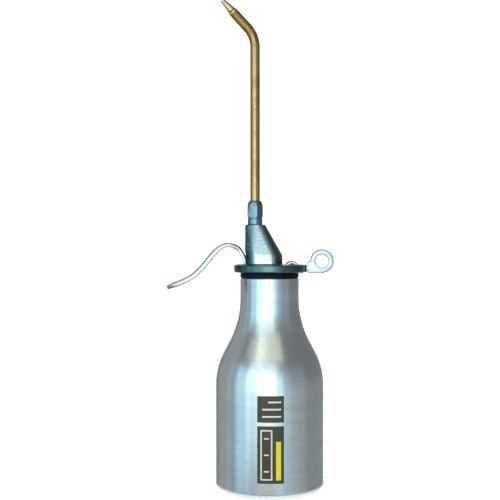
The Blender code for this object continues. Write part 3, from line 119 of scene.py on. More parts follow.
def settle(obj):
    """Leave the piece at the origin, unturned, its place in its mesh."""
    take(obj)
    bpy.ops.object.transform_apply(location=True, rotation=True, scale=True)
    return obj


def pick_all():
    bpy.ops.mesh.select_all(action="SELECT")


def pick_verts(obj, test):
    bpy.ops.mesh.select_mode(type="VERT")
    bpy.ops.mesh.select_all(action="DESELECT")
    mesh = bmesh.from_edit_mesh(obj.data)
    for vert in mesh.verts:
        if test(vert.co):
            vert.select_set(True)
    mesh.select_flush_mode()
    bmesh.update_edit_mesh(obj.data)


def draw_out(step):
    bpy.ops.mesh.extrude_region_move(TRANSFORM_OT_translate={"value": step})


def saw(point, normal, fill=True):
    """Cut the whole piece at a plane and drop what lies beyond it."""
    pick_all()
    bpy.ops.mesh.bisect(plane_co=point, plane_no=normal, use_fill=fill, clear_outer=True)


def merge_doubles():
    pick_all()
    bpy.ops.mesh.remove_doubles(threshold=0.002 * MM)


def face_outward():
    """Turn every face outward and leave edit mode."""
    pick_all()
    bpy.ops.mesh.normals_make_consistent(inside=False)
    out_of_edit()


def draw_line(points):
    """A plane merged to one point, then drawn out point by point."""
    deselect()
    start = Vector(points[0])
    bpy.ops.mesh.primitive_plane_add(size=MM, location=start)
    bpy.ops.object.mode_set(mode="EDIT")
    bpy.ops.mesh.merge(type="CENTER")
    for first, second in zip(points, points[1:]):
        draw_out(Vector(second) - Vector(first))


def spun(name, profile, x, steps=96):
    """A half outline of (radius, height) points, spun round an upright axis."""
    draw_line([(x + radius, 0.0, height) for radius, height in profile])
    pick_all()
    bpy.ops.mesh.spin(steps=steps, angle=2 * math.pi, center=(x, 0.0, 0.0), axis=(0.0, 0.0, 1.0))
    merge_doubles()
    face_outward()
    return settle(new_piece(name))


def slab(name, outline, low, high):
    """An outline of (x, z) points, filled and extruded from low to high along Y."""
    draw_line([(x, low, z) for x, z in outline])
    pick_all()
    bpy.ops.mesh.edge_face_add()
    draw_out((0.0, high - low, 0.0))
    face_outward()
    return settle(new_piece(name))


def drum(name, radius, low, high, x, vertices=96, turn=0.0):
    """An upright cylinder, or a prism turned by some degrees."""
    deselect()
    bpy.ops.mesh.primitive_cylinder_add(
        vertices=vertices, radius=radius, depth=high - low,
        location=(x, 0.0, (low + high) / 2), rotation=(0.0, 0.0, math.radians(turn)),
    )
    return settle(new_piece(name))


def cross_drum(name, radius, low, high, x, z, vertices=48):
    """A cylinder that lies along Y."""
    deselect()
    bpy.ops.mesh.primitive_cylinder_add(
        vertices=vertices, radius=radius, depth=high - low,
        location=(x, (low + high) / 2, z), rotation=(math.pi / 2, 0.0, 0.0),
    )
    return settle(new_piece(name))


def small_ring(name, vertices, radius, x, height):
    """A filled circle in the plane of X and Z, to be wound up by a screw."""
    deselect()
    bpy.ops.mesh.primitive_circle_add(
        vertices=vertices, radius=radius, fill_type="NGON",
        location=(x, 0.0, height), rotation=(math.pi / 2, 0.0, 0.0),
    )
    return settle(new_piece(name))


def finish_with(obj, kind, **values):
    """Add a modifier and apply it."""
    take(obj)
    modifier = obj.modifiers.new(kind.lower(), kind)
    for key, value in values.items():
        setattr(modifier, key, value)
    bpy.ops.object.modifier_apply(modifier=modifier.name)


def boolean(obj, other, operation):
    finish_with(obj, "BOOLEAN", operation=operation, object=other, solver="EXACT")
    bpy.data.objects.remove(other, do_unlink=True)


def add(obj, other):
    boolean(obj, other, "UNION")


def cut(obj, other):
    boolean(obj, other, "DIFFERENCE")


def bevel(obj, width, segments, degrees=50.0):
    finish_with(
        obj, "BEVEL", width=width, segments=segments, limit_method="ANGLE", angle_limit=math.radians(degrees)
    )


def close_coil(obj, sides):
    """Merge a wound coil's doubles and close its two ends."""
    merge_doubles()
    bpy.ops.mesh.fill_holes(sides=sides)
    face_outward()
    shade(obj, 60.0)


def shade(obj, degrees=40.0):
    take(obj)
    bpy.ops.object.shade_smooth_by_angle(angle=math.radians(degrees))


def arc(centre, radius, start, end, pieces, rise=None):
    """Points from angle start to end, in degrees, of a circle, or of an ellipse with its own rise."""
    points = []
    for index in range(pieces + 1):
        angle = math.radians(start + (end - start) * index / pieces)
        up = (rise or radius) * math.sin(angle)
        points.append((centre[0] + radius * math.cos(angle), centre[1] + up))
    return points


def about_pivot(points):
    return [(PIVOT.x + x, PIVOT.z + z) for x, z in points]


def dress(obj, material, slot_name, body, *nodes):
    """Give a piece its finish and its body, and hide the solids that it stands for."""
    obj.data.materials.clear()
    obj.data.materials.append(material)
    if body:
        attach(obj, body)
    if nodes:
        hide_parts(*nodes)


# Shader helpers

def put(tree, kind, **values):
    node = tree.nodes.new(kind)
    for key, value in values.items():
        setattr(node, key, value)
    return node


def wire(tree, source, target):
    """Feed a socket with a plain number or colour, or from another socket."""
    if isinstance(source, (int, float)):
        target.default_value = source
    elif isinstance(source, tuple):
        target.default_value = (*source, 1.0)
    else:
        tree.links.new(source, target)


def maths(tree, operation, *values, clamp=False):
    node = put(tree, "ShaderNodeMath", operation=operation, use_clamp=clamp)
    for value, socket in zip(values, node.inputs):
        wire(tree, value, socket)
    return node.outputs[0]


def scaled(tree, value, factor, plus=0.0):
    """A value times a factor, with something added."""
    return maths(tree, "MULTIPLY_ADD", value, factor, plus)


def mix(tree, share, first, second):
    node = put(tree, "ShaderNodeMix", data_type="RGBA")
    for value, index in ((share, 0), (first, 6), (second, 7)):
        wire(tree, value, node.inputs[index])
    return node.outputs[2]


def layer(tree, tone, *coats):
    """Lay coats of (mask, colour) over a tone, one after another."""
    for mask, colour in coats:
        tone = mix(tree, mask, tone, colour)
    return tone


def spread(tree, value, low, high, out_low=0.0, out_high=1.0, smooth=False):
    node = put(tree, "ShaderNodeMapRange", interpolation_type="SMOOTHSTEP" if smooth else "LINEAR")
    labels = ("Value", "From Min", "From Max", "To Min", "To Max")
    for label, source in zip(labels, (value, low, high, out_low, out_high)):
        wire(tree, source, node.inputs[label])
    return node.outputs["Result"]


def object_place(tree):
    """The X, Y and Z of a place on the piece."""
    place = put(tree, "ShaderNodeTexCoord")
    parts = put(tree, "ShaderNodeSeparateXYZ")
    wire(tree, place.outputs["Object"], parts.inputs["Vector"])
    return parts.outputs


def noise(tree, size, detail=2.0, roughness=0.5):
    """Noise on object coordinates, in lumps per metre, with one size or one along each axis."""
    place = put(tree, "ShaderNodeTexCoord").outputs["Object"]
    if isinstance(size, tuple):
        scale = put(tree, "ShaderNodeCombineXYZ")
        for value, socket in zip(size, scale.inputs):
            wire(tree, value, socket)
        mapping = put(tree, "ShaderNodeMapping")
        wire(tree, place, mapping.inputs["Vector"])
        wire(tree, scale.outputs["Vector"], mapping.inputs["Scale"])
        place, size = mapping.outputs["Vector"], 1.0
    node = put(tree, "ShaderNodeTexNoise")
    labels = ("Vector", "Scale", "Detail", "Roughness")
    for label, source in zip(labels, (place, size, detail, roughness)):
        wire(tree, source, node.inputs[label])
    return node.outputs["Fac"]


def new_group(name, inputs, *outputs):
    group = bpy.data.node_groups.new(name, "ShaderNodeTree")
    for label, value in inputs.items():
        socket = group.interface.new_socket(label, in_out="INPUT", socket_type="NodeSocketFloat")
        socket.default_value = value
    for label in outputs:
        group.interface.new_socket(label, in_out="OUTPUT", socket_type="NodeSocketFloat")
    return group, group.nodes.new("NodeGroupInput").outputs, group.nodes.new("NodeGroupOutput").inputs


def make_turned_lines():
    """Fine rings left by the turning tool, broken up round the piece."""
    group, enter, leave = new_group("turned lines", {"Rings": 2600.0, "Breakup": 60.0}, "Height", "Tone")
    fine = noise(group, (enter["Breakup"], enter["Breakup"], enter["Rings"]), 3.0, 0.65)
    broad = noise(group, (25.0, 25.0, 240.0))
    wire(group, fine, leave["Height"])
    mixed = scaled(group, fine, 0.6, scaled(group, broad, 0.4))
    wire(group, spread(group, mixed, 0.3, 0.7), leave["Tone"])
    return group


def make_draw_lines():
    """Long faint lines along a drawn tube or a rolled strip."""
    group, enter, leave = new_group("draw lines", {"Across": 1800.0, "Along": 40.0}, "Height")
    wire(group, noise(group, (enter["Across"], enter["Across"], enter["Along"])), leave["Height"])
    return group


def make_handling():
    """Smears and dull patches from oily hands."""
    group, enter, leave = new_group("handling marks", {"Size": 45.0, "Amount": 0.5}, "Mask")
    mask = spread(group, noise(group, enter["Size"], 5.0, 0.6), 0.4, 0.7, smooth=True)
    wire(group, scaled(group, mask, enter["Amount"]), leave["Mask"])
    return group


def make_specks():
    """Small dark specks and pits."""
    group, enter, leave = new_group("specks", {"Size": 900.0, "Share": 0.3}, "Mask")
    edge = maths(group, "SUBTRACT", 0.85, scaled(group, enter["Share"], 0.4))
    over = maths(group, "SUBTRACT", noise(group, enter["Size"]), edge)
    wire(group, maths(group, "MULTIPLY", over, 12.0, clamp=True), leave["Mask"])
    return group


def make_wear_and_shade():
    """Worn ridges, and hollows darkened with grime and painted shade, from how sharply the surface turns."""
    group, enter, leave = new_group("wear, grime and hollow shade", {"Ridge": 0.53, "Hollow": 0.47}, "Worn", "Grime and shade")
    point = put(group, "ShaderNodeNewGeometry").outputs["Pointiness"]
    patchy = spread(group, noise(group, 400.0, 3.0), 0.35, 0.6)
    for label, more, less in (("Worn", point, enter["Ridge"]), ("Grime and shade", enter["Hollow"], point)):
        mask = maths(group, "MULTIPLY", maths(group, "SUBTRACT", more, less), 14.0, clamp=True)
        wire(group, scaled(group, mask, patchy), leave[label])
    return group


def from_disc(tree, disc):
    """How far across and up a place lies from an upright disc's centre, and how far beyond its rim."""
    place = object_place(tree)
    across = maths(tree, "SUBTRACT", place["X"], disc["Across"])
    up = maths(tree, "SUBTRACT", place["Z"], disc["Height"])
    squares = scaled(tree, across, across, scaled(tree, up, up))
    return across, up, maths(tree, "SUBTRACT", maths(tree, "SQRT", squares), disc["Radius"])


def make_painted_rim_shade():
    """Mask of painted shade: a dark rim round an upright disc, but for the quarter with its tab."""
    group, enter, leave = new_group("painted rim shade", {"Across": 0.0, "Height": 0.0, "Radius": 1.0}, "Mask")
    across, up, beyond = from_disc(group, enter)
    rim = spread(group, beyond, -0.75 * MM, -0.35 * MM, smooth=True)
    rim = scaled(group, rim, maths(group, "LESS_THAN", beyond, 0.3 * MM))
    tab = scaled(group, maths(group, "LESS_THAN", across, 0.0), maths(group, "LESS_THAN", up, 0.0))
    wire(group, scaled(group, rim, maths(group, "SUBTRACT", 1.0, tab)), leave["Mask"])
    return group


TURNED_LINES = make_turned_lines()
DRAW_LINES = make_draw_lines()
HANDLING = make_handling()
SPECKS = make_specks()
WEAR_AND_SHADE = make_wear_and_shade()
PAINTED_RIM_SHADE = make_painted_rim_shade()


def use(tree, group, **values):
    """Place a group and return what it puts out: one socket, or all of them by name."""
    node = put(tree, "ShaderNodeGroup", node_tree=group)
    for label, value in values.items():
        node.inputs[label].default_value = value
    return node.outputs if len(node.outputs) > 1 else node.outputs[0]


def new_material(name, metallic=0.0):
    """A material, its node tree and its shader's inputs."""
    material = bpy.data.materials.new(name)
    material.use_nodes = True
    shader = material.node_tree.nodes["Principled BSDF"].inputs
    shader["Metallic"].default_value = metallic
    return material, material.node_tree, shader


def surface(tree, shader, tone, rough, height, depth, strength):
    """Give a shader its colour, its roughness and its fine relief."""
    relief = put(tree, "ShaderNodeBump")
    for source, target in (
        (strength, relief.inputs["Strength"]), (depth, relief.inputs["Distance"]),
        (height, relief.inputs["Height"]), (relief.outputs["Normal"], shader["Normal"]),
        (tone, shader["Base Color"]), (rough, shader["Roughness"]),
    ):
        wire(tree, source, target)


def make_spun_aluminium():
    material, tree, shader = new_material("spun aluminium", 1.0)
    shader["Anisotropic"].default_value = 0.45
    shader["Anisotropic Rotation"].default_value = 0.25
    tangent = put(tree, "ShaderNodeTangent", direction_type="RADIAL", axis="Z")
    wire(tree, tangent.outputs["Tangent"], shader["Tangent"])
    lines = use(tree, TURNED_LINES, Rings=2400.0, Breakup=50.0)
    marks = use(tree, HANDLING, Size=38.0, Amount=0.3)
    specks = use(tree, SPECKS, Size=700.0, Share=0.2)
    tone = mix(tree, lines["Tone"], (0.58, 0.62, 0.64), (0.74, 0.77, 0.79))
    tone = layer(tree, tone, (marks, (0.54, 0.60, 0.62)), (specks, (0.30, 0.34, 0.33)))
    rough = scaled(tree, lines["Tone"], -0.05, 0.29)
    rough = scaled(tree, marks, 0.08, rough)
    surface(tree, shader, tone, rough, lines["Height"], 0.003 * MM, 0.4)
    return material


def milled_flats(tree):
    """Masks of the tower's milled front and back flats and of their bare metal, which fades to the dark cast
    skin towards the left edge as painted shade.
    """
    place = object_place(tree)
    half = spread(tree, place["Z"], TOWER_KNEE, TOWER_TOP, KNEE_FLAT, TOP_FLAT)
    beyond = maths(tree, "SUBTRACT", maths(tree, "ABSOLUTE", place["Y"]), half)
    flats = spread(tree, beyond, -1.9 * MM, -0.3 * MM, smooth=True)
    above = maths(tree, "GREATER_THAN", place["Z"], FLANGE_TOP + 0.4 * MM)
    below = maths(tree, "LESS_THAN", place["Z"], TOWER_TOP)
    flats = scaled(tree, flats, scaled(tree, above, below))
    # Painted shade: the bare milled metal fades back to the dark cast skin towards the left edge, by the
    # lever.
    painted_shade_ramp = spread(tree, place["X"], -12.0 * MM, -7.9 * MM, 0.12, 1.0, smooth=True)
    return flats, scaled(tree, flats, painted_shade_ramp)


def make_cast_zinc():
    material, tree, shader = new_material("cast zinc", 1.0)
    wear_and_shade = use(tree, WEAR_AND_SHADE, Ridge=0.54, Hollow=0.46)
    marks = use(tree, HANDLING, Size=120.0, Amount=0.7)
    specks = use(tree, SPECKS, Size=1300.0, Share=0.5)
    flats, bare_with_painted_shade = milled_flats(tree)
    cut_grain = spread(tree, noise(tree, 900.0, 3.0, 0.6), 0.3, 0.7)
    grain = noise(tree, 420.0, 4.0, 0.6)
    lumps = noise(tree, 90.0)
    skin = mix(tree, lumps, (0.065, 0.145, 0.15), (0.12, 0.215, 0.225))
    milled = mix(tree, cut_grain, (0.34, 0.47, 0.51), (0.66, 0.75, 0.80))
    # Over the skin: handling marks, bare milled metal darker to the left as painted shade, specks, worn
    # ridges, and grime with painted shade in the hollows.
    tone = layer(
        tree, skin, (marks, (0.055, 0.115, 0.12)), (bare_with_painted_shade, milled), (specks, (0.06, 0.08, 0.09)),
        (wear_and_shade["Worn"], (0.46, 0.52, 0.54)), (wear_and_shade["Grime and shade"], (0.03, 0.04, 0.04)),
    )
    rough = scaled(tree, grain, 0.10, 0.18)
    rough = scaled(tree, marks, 0.10, rough)
    rough = scaled(tree, wear_and_shade["Grime and shade"], 0.25, rough)
    height = scaled(tree, lumps, 2.0, grain)
    height = scaled(tree, height, scaled(tree, flats, -0.6, 1.0))
    surface(tree, shader, tone, rough, height, 0.05 * MM, 0.5)
    return material


def make_zinc_plate(name, disc, recess=None):
    """Bright plated steel, with painted shade as a dark rim round its disc and painted shade in the disc's
    recess.
    """
    material, tree, shader = new_material(name, 1.0)
    lines = use(tree, DRAW_LINES, Across=1500.0, Along=1500.0)
    marks = use(tree, HANDLING, Size=160.0, Amount=0.5)
    wear_and_shade = use(tree, WEAR_AND_SHADE, Ridge=0.56, Hollow=0.45)
    rim = use(tree, PAINTED_RIM_SHADE, **disc)
    tone = mix(tree, marks, (0.45, 0.49, 0.54), (0.37, 0.43, 0.49))
    # Grime with painted shade in the hollows, then painted shade as a dark rim round the disc.
    tone = layer(tree, tone, (wear_and_shade["Grime and shade"], (0.14, 0.13, 0.15)), (rim, (0.05, 0.05, 0.06)))
    if recess:
        # Painted shade darkens the floor of the recess.
        inside = spread(tree, from_disc(tree, recess)[2], 0.15 * MM, -0.15 * MM, smooth=True)
        depth = maths(tree, "ABSOLUTE", object_place(tree)["Y"])
        recess_shade = scaled(tree, inside, maths(tree, "LESS_THAN", depth, recess["Face"]))
        tone = layer(tree, tone, (recess_shade, (0.06, 0.055, 0.06)))
    rough = scaled(tree, lines, 0.12, 0.20)
    rough = scaled(tree, marks, 0.10, rough)
    surface(tree, shader, tone, rough, lines, 0.01 * MM, 0.5)
    return material


def make_plain_metal(name, dark, light, roughness):
    """A turned or drawn metal with fine rings, marks and specks."""
    material, tree, shader = new_material(name, 1.0)
    lines = use(tree, TURNED_LINES, Rings=3200.0, Breakup=120.0)
    marks = use(tree, HANDLING, Size=150.0, Amount=0.6)
    specks = use(tree, SPECKS, Size=1200.0, Share=0.3)
    tone = mix(tree, marks, light, dark)
    tone = layer(tree, tone, (specks, tuple(value * 0.4 for value in dark)))
    rough = scaled(tree, marks, 0.14, roughness)
    surface(tree, shader, tone, rough, lines["Height"], 0.008 * MM, 0.6)
    return material


def make_tube_brass():
    """Drawn brass, with painted shade, a darker brown, on the side to which the tube bends."""
    material, tree, shader = new_material("drawn brass", 1.0)
    lines = use(tree, DRAW_LINES, Across=2600.0, Along=60.0)
    marks = use(tree, HANDLING, Size=90.0, Amount=0.8)
    specks = use(tree, SPECKS, Size=900.0, Share=0.3)
    tone = mix(tree, noise(tree, 60.0, 3.0), (0.38, 0.24, 0.07), (0.60, 0.42, 0.20))
    # Painted shade: darker brown towards the side to which the tube bends, which takes in the bend and the
    # end.
    bend_side_shade = spread(
        tree, object_place(tree)["X"], SPOUT_X - 3.0 * MM, SPOUT_X - 1.3 * MM, 0.8, 0.0, smooth=True
    )
    tone = layer(
        tree, tone, (marks, (0.36, 0.22, 0.08)), (bend_side_shade, (0.29, 0.155, 0.04)), (specks, (0.20, 0.09, 0.04))
    )
    surface(tree, shader, tone, scaled(tree, marks, 0.12, 0.2), lines, 0.006 * MM, 0.5)
    return material


def make_rubber():
    material, tree, shader = new_material("black rubber")
    marks = use(tree, HANDLING, Size=200.0, Amount=0.8)
    tone = mix(tree, marks, (0.003, 0.003, 0.008), (0.008, 0.009, 0.018))
    shader["Specular IOR Level"].default_value = 0.14
    rough = scaled(tree, marks, 0.2, 0.42)
    surface(tree, shader, tone, rough, noise(tree, 1500.0), 0.01 * MM, 0.4)
    return material


def make_fibrous(name, dark, light, roughness, size):
    """Pressed fibre or leather: clouded colour over a fine felted grain."""
    material, tree, shader = new_material(name)
    cloud = noise(tree, size, 5.0, 0.65)
    grain = noise(tree, (2600.0, 2600.0, 900.0), 3.0)
    rough = scaled(tree, cloud, 0.2, roughness - 0.1)
    surface(tree, shader, mix(tree, cloud, dark, light), rough, grain, 0.03 * MM, 0.6)
    return material


def make_hose_plastic():
    material, tree, shader = new_material("hose plastic")
    lines = use(tree, DRAW_LINES, Across=900.0, Along=30.0)
    marks = use(tree, HANDLING, Size=80.0, Amount=0.7)
    tone = mix(tree, marks, (0.66, 0.68, 0.58), (0.55, 0.50, 0.30))
    surface(tree, shader, tone, scaled(tree, marks, 0.2, 0.3), lines, 0.01 * MM, 0.5)
    return material


SPUN_ALUMINIUM = make_spun_aluminium()
CAST_ZINC = make_cast_zinc()
EYE_DISC = {"Across": EYE_X, "Height": EYE_Z, "Radius": EYE_RADIUS}
EAR_DISC = {"Across": PIVOT.x, "Height": PIVOT.z, "Radius": EAR_RADIUS}
EAR_RECESS = {"Across": PIVOT.x, "Height": PIVOT.z, "Radius": 3.1 * MM, "Face": 4.45 * MM}
ZINC_PLATE = make_zinc_plate("bright zinc plate", EYE_DISC)
LEVER_PLATE = make_zinc_plate("lever zinc plate", EAR_DISC, EAR_RECESS)
NICKEL = make_plain_metal("nickel plate", (0.13, 0.22, 0.26), (0.18, 0.29, 0.34), 0.22)
PIN_STEEL = make_plain_metal("pin steel", (0.10, 0.11, 0.13), (0.22, 0.23, 0.25), 0.35)
TUBE_BRASS = make_tube_brass()
PLAIN_BRASS = make_plain_metal("turned brass", (0.42, 0.28, 0.10), (0.60, 0.44, 0.18), 0.26)
PALE_BRASS = make_plain_metal("pale brass", (0.50, 0.30, 0.20), (0.72, 0.48, 0.34), 0.28)
SPRING_STEEL = make_plain_metal("spring steel", (0.30, 0.31, 0.33), (0.50, 0.51, 0.53), 0.25)
RUBBER = make_rubber()
FIBRE = make_fibrous("red fibre", (0.20, 0.05, 0.03), (0.36, 0.12, 0.07), 0.8, 500.0)
LEATHER = make_fibrous("oiled leather", (0.12, 0.06, 0.03), (0.28, 0.15, 0.08), 0.7, 700.0)
HOSE_PLASTIC = make_hose_plastic()


# Flask

def shoulder(inset):
    """Two arcs and the cone between them, from the body up to the neck."""
    body_top, height, neck = in_mm(65.3, 54.7, 18.5)
    cone_room, convex_share = 0.984, 0.437
    fall = FLASK_RADIUS - neck
    arcs = (height ** 2 + fall ** 2) / (2 * fall) * cone_room
    span = math.hypot(height, arcs - fall)
    slope = math.degrees(math.atan2(height, arcs - fall) - math.acos(arcs / span))
    convex = arcs * convex_share
    concave = arcs - convex
    points = arc((FLASK_RADIUS - convex, body_top), convex - inset, 0.0, slope, 14)
    points += arc((neck + concave, body_top + height), concave + inset, 180.0 + slope, 180.0, 18)
    return points


def make_flask():
    corner, wall, lip = in_mm(4.5, 1.2, 0.4)
    inner_corner = corner - wall
    floor = 1.8 * MM
    outer = [*in_mm((0.0, 0.35), (24.0, 0.35), (25.0, 0.0))]
    outer += arc((FLASK_RADIUS - corner, corner), corner, -90.0, 0.0, 10)
    outer += shoulder(0.0)
    outer += arc((18.1 * MM, NECK_TOP - lip), lip, 0.0, 90.0, 4)
    inner = [(0.0, floor)]
    inner += arc((FLASK_RADIUS - corner, floor + inner_corner), inner_corner, -90.0, 0.0, 5)
    inner += shoulder(wall)
    inner += [(17.3 * MM, NECK_TOP - 0.15 * MM), (17.45 * MM, NECK_TOP)]
    flask = spun("dressed_flask", inner + outer[::-1], 0.0, 144)
    shade(flask)
    dress(flask, SPUN_ALUMINIUM, "spun_aluminium", "flask", "flask")


def make_gasket():
    inner, outer, edge = in_mm(16.9, 18.4, 0.6)
    low, high = GASKET_LOW.z, GASKET_HIGH.z
    profile = [(inner, high), (outer - edge, high)]
    profile += arc((outer - edge, high - edge), edge, 90.0, 0.0, 5)[1:]
    profile += arc((outer - edge, low + edge), edge, 0.0, -90.0, 5)
    profile += [(inner, low), (inner, high)]
    ring = spun("dressed_gasket", profile, 0.0, 128)
    shade(ring)
    dress(ring, RUBBER, "black_rubber", "gasket_ring", "neck_gasket")


# Pump head: one casting

def make_tower():
    """An upright foot that leans over into a smaller top, with a flat front and back and a flat nose."""
    root = FLANGE_TOP - 2.0 * MM
    knee_x, top_x, nose_x = in_mm(-3.7, -9.1, -15.4)
    deselect()
    bpy.ops.mesh.primitive_circle_add(
        vertices=96, radius=KNEE_RADIUS, fill_type="NGON", location=(knee_x, 0.0, root)
    )
    obj = new_piece("tower")
    into_edit(obj)
    draw_out((0.0, 0.0, TOWER_KNEE - root))
    draw_out((top_x - knee_x, 0.0, TOWER_TOP - TOWER_KNEE))
    shrink = TOP_RADIUS / KNEE_RADIUS
    bpy.ops.transform.resize(value=(shrink, shrink, 1.0), center_override=(top_x, 0.0, TOWER_TOP))
    pick_verts(obj, lambda place: place.z < TOWER_KNEE + MM and place.x < knee_x)
    bulge = 1.065
    bpy.ops.transform.resize(value=(bulge, 1.0, 1.0), center_override=(knee_x, 0.0, 0.0))
    saw((nose_x, 0.0, 0.0), (-1.0, 0.0, 0.0))
    lean = math.atan2(KNEE_FLAT - TOP_FLAT, TOWER_TOP - TOWER_KNEE)
    for side in (-1, 1):
        for normal in ((0.0, side, 0.0), (0.0, side * math.cos(lean), math.sin(lean))):
            saw((0.0, side * KNEE_FLAT, TOWER_KNEE), normal)
    face_outward()
    return settle(obj)


def soften_tower(head):
    """Rub down the edges round the tower's flats, clear of its top rim and of the flange."""
    low, high = FLANGE_TOP + 0.9 * MM, TOWER_TOP - 0.7 * MM
    mouth, back = in_mm(-9.0, 8.6)
    beside_mouth, beside_flats = in_mm(5.9, 3.0)
    into_edit(head)
    pick_verts(head, lambda place: (
        low < place.z < high and place.x < back
        and abs(place.y) > (beside_mouth if place.x < mouth else beside_flats)
    ))
    bpy.ops.mesh.vertices_smooth(factor=0.5, repeat=45)
    out_of_edit()


def rounded_rim(radius):
    """A disc's edge from the flange's lower face up to its upper one."""
    rim = 0.8 * MM
    points = arc((radius - rim, FLANGE_BOTTOM + rim), rim, -90.0, 0.0, 4)
    return points + arc((radius - rim, FLANGE_TOP - rim), rim, 0.0, 90.0, 4)


def add_eye_lug(head):
    """A lug with a rounded nose for the hanging eye, and the web below it."""
    start, nose_x, half_width, nose_radius = in_mm(10.0, 19.7, 3.9, 4.0)
    lug = [(start, FLANGE_BOTTOM), (nose_x, FLANGE_BOTTOM), (nose_x, FLANGE_TOP), (start, FLANGE_TOP)]
    add(head, slab("lug", lug, -half_width, half_width))
    nose = [(0.0, FLANGE_BOTTOM), *rounded_rim(nose_radius), (0.0, FLANGE_TOP)]
    add(head, spun("lug_nose", nose, nose_x, 64))
    web_x, web_reach, web_drop, web_half = in_mm(22.9, 3.2, 1.5, 1.5)
    web_top = FLANGE_BOTTOM + 1.2 * MM
    web = [(nose_x, web_top)]
    web += arc((web_x, FLANGE_BOTTOM - web_drop), web_reach, 180.0, 90.0, 8, web_drop)
    web.append((web_x, web_top))
    add(head, slab("web", web, -web_half, web_half))


def cut_lever_passage(head):
    """The curved way in which the lever swings, the pockets for its ears and the lug between them."""
    roof = [
        (PIVOT.x - LEVER_REACH * reach, PIVOT.z + LEVER_RISE * rise)
        for reach, rise in ((0.3165, 0.120), (0.3380, 0.1835), (0.3633, 0.595))
    ]
    mouth = PIVOT.x - LEVER_REACH * 0.429
    step = PIVOT.x - LEVER_REACH * 0.376
    floor = FLANGE_BOTTOM + 0.7 * MM
    end = PIVOT.x - 5.2 * MM
    back, outer, half_width = in_mm(8.5, -16.6, 5.0)
    passage = [
        (mouth, TOWER_KNEE + MM), (mouth, FLANGE_TOP), (mouth + 2.2 * MM, floor),
        (step, floor), (step + 1.6 * MM, SLOT_FLOOR), (end, SLOT_FLOOR), (end, TOWER_KNEE),
        (back, TOWER_KNEE), (back, roof[0][1]), *roof,
        (outer, roof[-1][1] + 0.35 * MM), (outer, TOWER_KNEE + MM),
    ]
    cut(head, slab("passage", passage, -half_width, half_width))
    pocket = [*in_mm((4.85, 6.7)), *arc((0.0, 0.0), 4.85 * MM, 0.0, -90.0, 8, 2.475 * MM)]
    pocket = about_pivot([*pocket, *in_mm((-2.25, -3.1), (-6.2, -3.73), (-6.2, 6.7))])
    for low, high in in_mm((-5.4, -2.75), (2.75, 5.4)):
        cut(head, slab("pocket", pocket, low, high))
    lug = about_pivot(arc((0.0, 0.0), 3.9 * MM, 0.0, 180.0, 24) + [*in_mm((-3.9, -2.3), (3.9, -2.3))])
    add(head, slab("pivot_lug", lug, -2.75 * MM, 2.75 * MM))


def cut_bores(head):
    """The gland's and the barrel's sockets, the delivery valve's bore, the pin's hole and the eye's slot."""
    start, foot = SLOT_FLOOR + MM, HEAD_LOW.z - MM
    bores = [
        (0.0, start), (4.7 * MM, start),
        *in_mm((4.7, 130.45), (3.25, 130.45), (3.25, 124.215), (2.2, 124.215), (2.2, 122.415)),
        (8.25 * MM, 122.415 * MM), (8.25 * MM, foot), (0.0, foot),
    ]
    cut(head, spun("bores", bores, PUMP_X, 64))
    start, washer_floor = TOWER_TOP + MM, TOWER_TOP - 1.5 * MM
    valve = [
        (0.0, start), (5.15 * MM, start), (5.15 * MM, washer_floor), (3.85 * MM, washer_floor),
        *in_mm((3.85, 160.85), (3.1, 160.85), (3.1, 151.9), (1.4, 151.9), (1.4, 150.3), (0.0, 150.3)),
    ]
    cut(head, spun("valve_bore", valve, SPOUT_X, 64))
    cut(head, cross_drum("pin_bore", 1.6 * MM, -3.75 * MM, FLANGE_RADIUS, PIVOT.x, PIVOT.z, 32))
    slot = in_mm((19.85, 136.65), (24.7, 136.65), (24.7, 139.95), (19.85, 139.95))
    cut(head, slab("eye_slot", slot, -1.35 * MM, 1.35 * MM))


def make_pump_head():
    plug_bottom = HEAD_LOW.z + 5.6 * MM
    plug_radius, plug_edge = in_mm(16.8, 15.8)
    profile = [
        (0.0, FLANGE_TOP), *rounded_rim(FLANGE_RADIUS)[::-1], (plug_radius, FLANGE_BOTTOM),
        (plug_radius, plug_bottom + MM), (plug_edge, plug_bottom), (0.0, plug_bottom),
    ]
    head = spun("dressed_pump_head", profile, 0.0, 128)
    add(head, make_tower())
    add(head, drum("boss", 10.85 * MM, HEAD_LOW.z, plug_bottom + 5.0 * MM, PUMP_X))
    add_eye_lug(head)
    cut_lever_passage(head)
    cut_bores(head)
    finish_with(head, "REMESH", mode="VOXEL", voxel_size=0.36 * MM, adaptivity=0.0)
    finish_with(head, "SMOOTH", factor=0.5, iterations=4)
    soften_tower(head)
    take(head)
    bpy.ops.object.shade_smooth()
    dress(head, CAST_ZINC, "cast_zinc", "head", "pump_head")


def make_eye():
    """A ring on a plate, whose tang sits in the lug's slot."""
    tang, shoulder_x, tang_low, tang_high = in_mm(20.1, 23.95, 136.9, 139.7)
    low, high = EYE_LOW.y, EYE_HIGH.y
    outline = [(tang, tang_low), (shoulder_x, tang_low), (shoulder_x, EYE_Z - EYE_RADIUS)]
    outline += arc((EYE_X, EYE_Z), EYE_RADIUS, -90.0, 180.0, 64)
    outline += [(shoulder_x, EYE_Z), (shoulder_x, tang_high), (tang, tang_high)]
    plate = slab("dressed_hanging_eye", outline, low, high)
    cut(plate, cross_drum("eye_hole", 4.1 * MM, low - MM, high + MM, EYE_X, EYE_Z, 64))
    bevel(plate, 0.62 * MM, 5)
    shade(plate)
    dress(plate, ZINC_PLATE, "zinc_plate", "head", "hanging_eye")


def make_plug_thread():
    """The rounded ridge that screws into the neck."""
    obj = small_ring("plug_thread", 6, 0.45 * MM, 16.7 * MM, 123.8 * MM)
    finish_with(obj, "SCREW", axis="Z", screw_offset=2.2 * MM, iterations=3, steps=64, render_steps=64)
    into_edit(obj)
    close_coil(obj, 6)
    dress(obj, CAST_ZINC, "cast_zinc", "head")


# Lever

